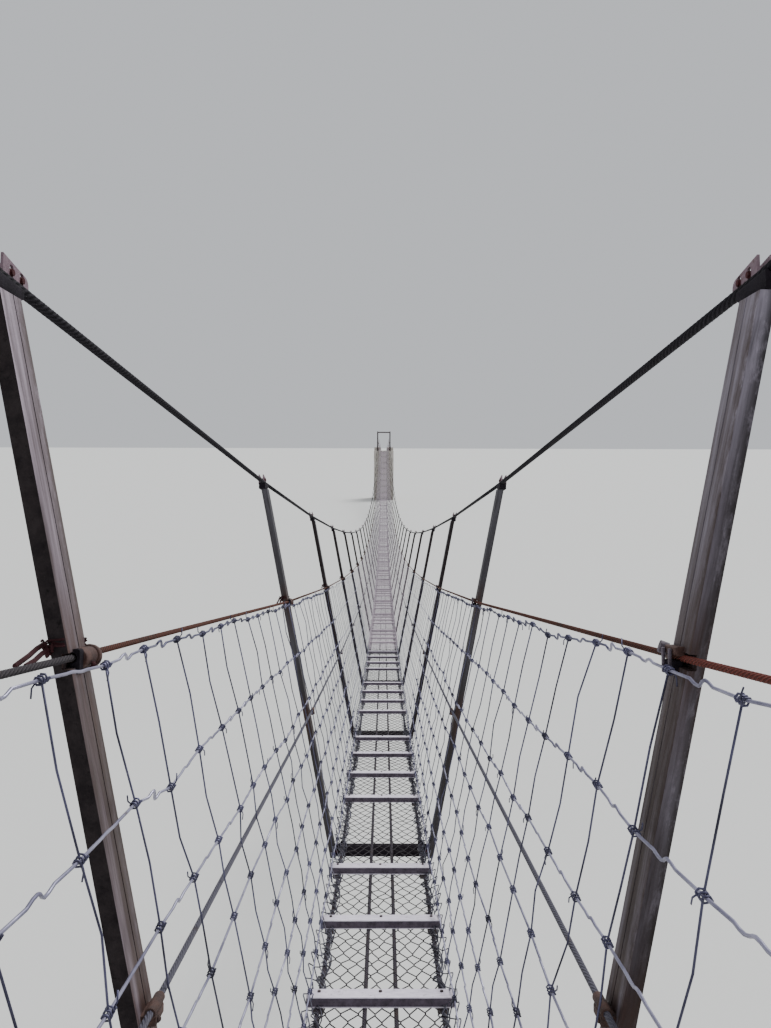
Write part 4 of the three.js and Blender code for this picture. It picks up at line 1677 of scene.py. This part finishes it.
def finishes() -> Paints:
    """Builds every material of the bridge.

    Returns:
        The materials by their use.
    """
    faint_mottle = Patches(0.0024, 0.42, 0.58, 0.75)
    rail_lay = HANDRAIL.lay
    # Each finish starts with its share of metal, its roughness and its gloss; then come its colours.
    makers: dict[str, Finish] = {
        "leg_left": WeatheredZinc("weathered galvanised steel", 0.2, 0.55, 0.4),
        "leg_right": WeatheredZinc("rain streaked galvanised steel", 0.2, 0.6, 0.3, pale="#a39cab",
                                   dull="#5d5356", rust="#3f2b24", dirt="#2d1d14", dirty_until=0.118,
                                   edge_from=(0.0500, 0.0460), mottle=faint_mottle),
        # A darker copy of the leg finish for the frames past the first: painted shade.
        "leg_far": WeatheredZinc("galvanised steel dark with dirt and rain", 0.1, 0.7, 0.3, pale="#56545a",
                                 dull="#3c3a3e", run="#2a2322", rust="#4a3329", dirt="#322d2b",
                                 clean_from=0.165, dirty_until=0.020, edge_from=(0.0512, 0.0538),
                                 mottle=faint_mottle),
        # Narrow faces that look along Y are painted dark as shade; the right ones also have a band of black
        # lichen.
        "leg_edge_left": Corroded("galvanised steel black with dirt", 0.0, 0.85, 0.15,
                                  "#221d1f", "#342e2f", "#141112", grain=0.0014),
        "leg_edge_right": WeatheredZinc("galvanised steel with black lichen", 0.2, 0.65, 0.3, pale="#aaa3b2",
                                        dull="#605963", run="#1d1b1e", rust="#3f2b24", dirt="#261c17",
                                        edge_from=(0.0262, 0.0285)),
        "barrel": Corroded("brown rusted cast steel", 0.1, 0.75, 0.5, "#3a2420", "#573b33", "#231613"),
        "bolt": Corroded("dark red rusted steel", 0.0, 0.8, 0.2, "#351719", "#512528", "#1c0e0f"),
        "strap": Corroded("stained zinc plated steel", 0.2, 0.6, 0.5, "#40363e", "#665c68", "#342325"),
        "lug": Corroded("brown stained cast steel", 0.1, 0.75, 0.5, "#352420", "#553a31", "#211614"),
        "saddle": Corroded("greased cast steel", 0.0, 0.8, 0.1, "#1b171d", "#29242b", "#110f13"),
        "keeper": Corroded("rust stained galvanised plate", 0.1, 0.65, 0.3, "#75606a", "#927e87", "#5b4344",
                           grain=0.002),
        "rust": Corroded("rusted cast steel", 0.1, 0.8),
        "dark": Corroded("weathered dark steel", 0.3, 0.65, 0.5, "#3b3436", "#564b4b", "#241e20"),
        "tower": Corroded("weathered steel section", 0.3, 0.6, 0.5, "#40393b", "#5c5152", "#2a2426",
                          grain=0.004),
        "binding": ZincWire("dark red binding wire", 0.0, 0.8, 0.2, "#3d1c20", "#281316", "#1b0d0f"),
        "main": StrandedRope("black wire rope", 0.0, 0.85, 0.12),
        "handrail_near_left": StrandedRope("worn grey handrail rope", 0.0, 0.8, 0.2, "#454043", "#343034",
                                           "#3f3635", lay=rail_lay),
        "handrail_near_right": StrandedRope("red rusted wire rope", 0.0, 0.8, 0.3, "#78372d", "#552820",
                                            "#643026", lay=rail_lay),
        "handrail": StrandedRope("rusted wire rope", 0.0, 0.85, 0.25, "#653729", "#301a14", "#4c3831",
                                 lay=rail_lay),
        "middle": StrandedRope("galvanised wire rope", 0.2, 0.6, 0.4, "#555360", "#45434e", "#55413b",
                               Patches(0.009, 0.6, 0.72, 0.7), rail_lay),
        "foot": StrandedRope("dull foot rope", 0.1, 0.75, 0.3, "#463f49", "#241f26", "#4a3a34", lay=0.009),
        "tread": TreadMetal("bare folded metal", 0.1, 0.5),
        "lip": Corroded("stained fold of a tread", 0.2, 0.6, 0.5, "#463c48", "#675c6b", "#2a2124"),
        "far_tread": TreadMetal("tread bright with wear", 0.0, 0.5, bright="#ded2db", worn="#c5b8c2"),
        # The far lip and the far wire carry painted sunlight.
        "far_lip": TreadMetal("fold of a tread bright with wear", 0.0, 0.5, bright="#cabcc7", worn="#ac9eaa"),
        "far_wire": ZincWire("clean netting wire", 0.1, 0.6, 0.5, "#b6a9b5", "#8e828e", "#7a6a6b"),
        "wire": ZincWire("galvanised fence wire", 0.5, 0.42),
        "knot": ZincWire("dull tie wire", 0.4, 0.5, 0.5, "#5a5976", "#2f2e3f", "#2c2222"),
        "netting": ZincWire("weathered netting wire", 0.3, 0.6, 0.5, "#363034", "#221d21", "#35241f"),
        "edging": ZincWire("dull netting wire", 0.4, 0.6, bright="#5f5e6b", dull="#3a3842"),
        "concrete": CastConcrete("board marked concrete", 0.0, 0.9),
    }
    return {use: finish.make() for use, finish in makers.items()}


def main() -> None:
    """Builds the studio and every sub-assembly in order, and reports each piece."""
    logging.basicConfig(level=logging.INFO, format="%(name)s: %(message)s")
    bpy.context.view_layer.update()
    studio = Studio()
    studio.camera()
    paints = finishes()
    SteelFrames(paints).build()
    Ropes(paints).build()
    deck = Deck(paints)
    deck.build()
    DeckNetting(paints, deck).build()
    for side in Side:
        SideNet(paints, side).build()
    Ends(paints).build()
    studio.floor()
    studio.light()


if __name__ == "__main__":
    main()
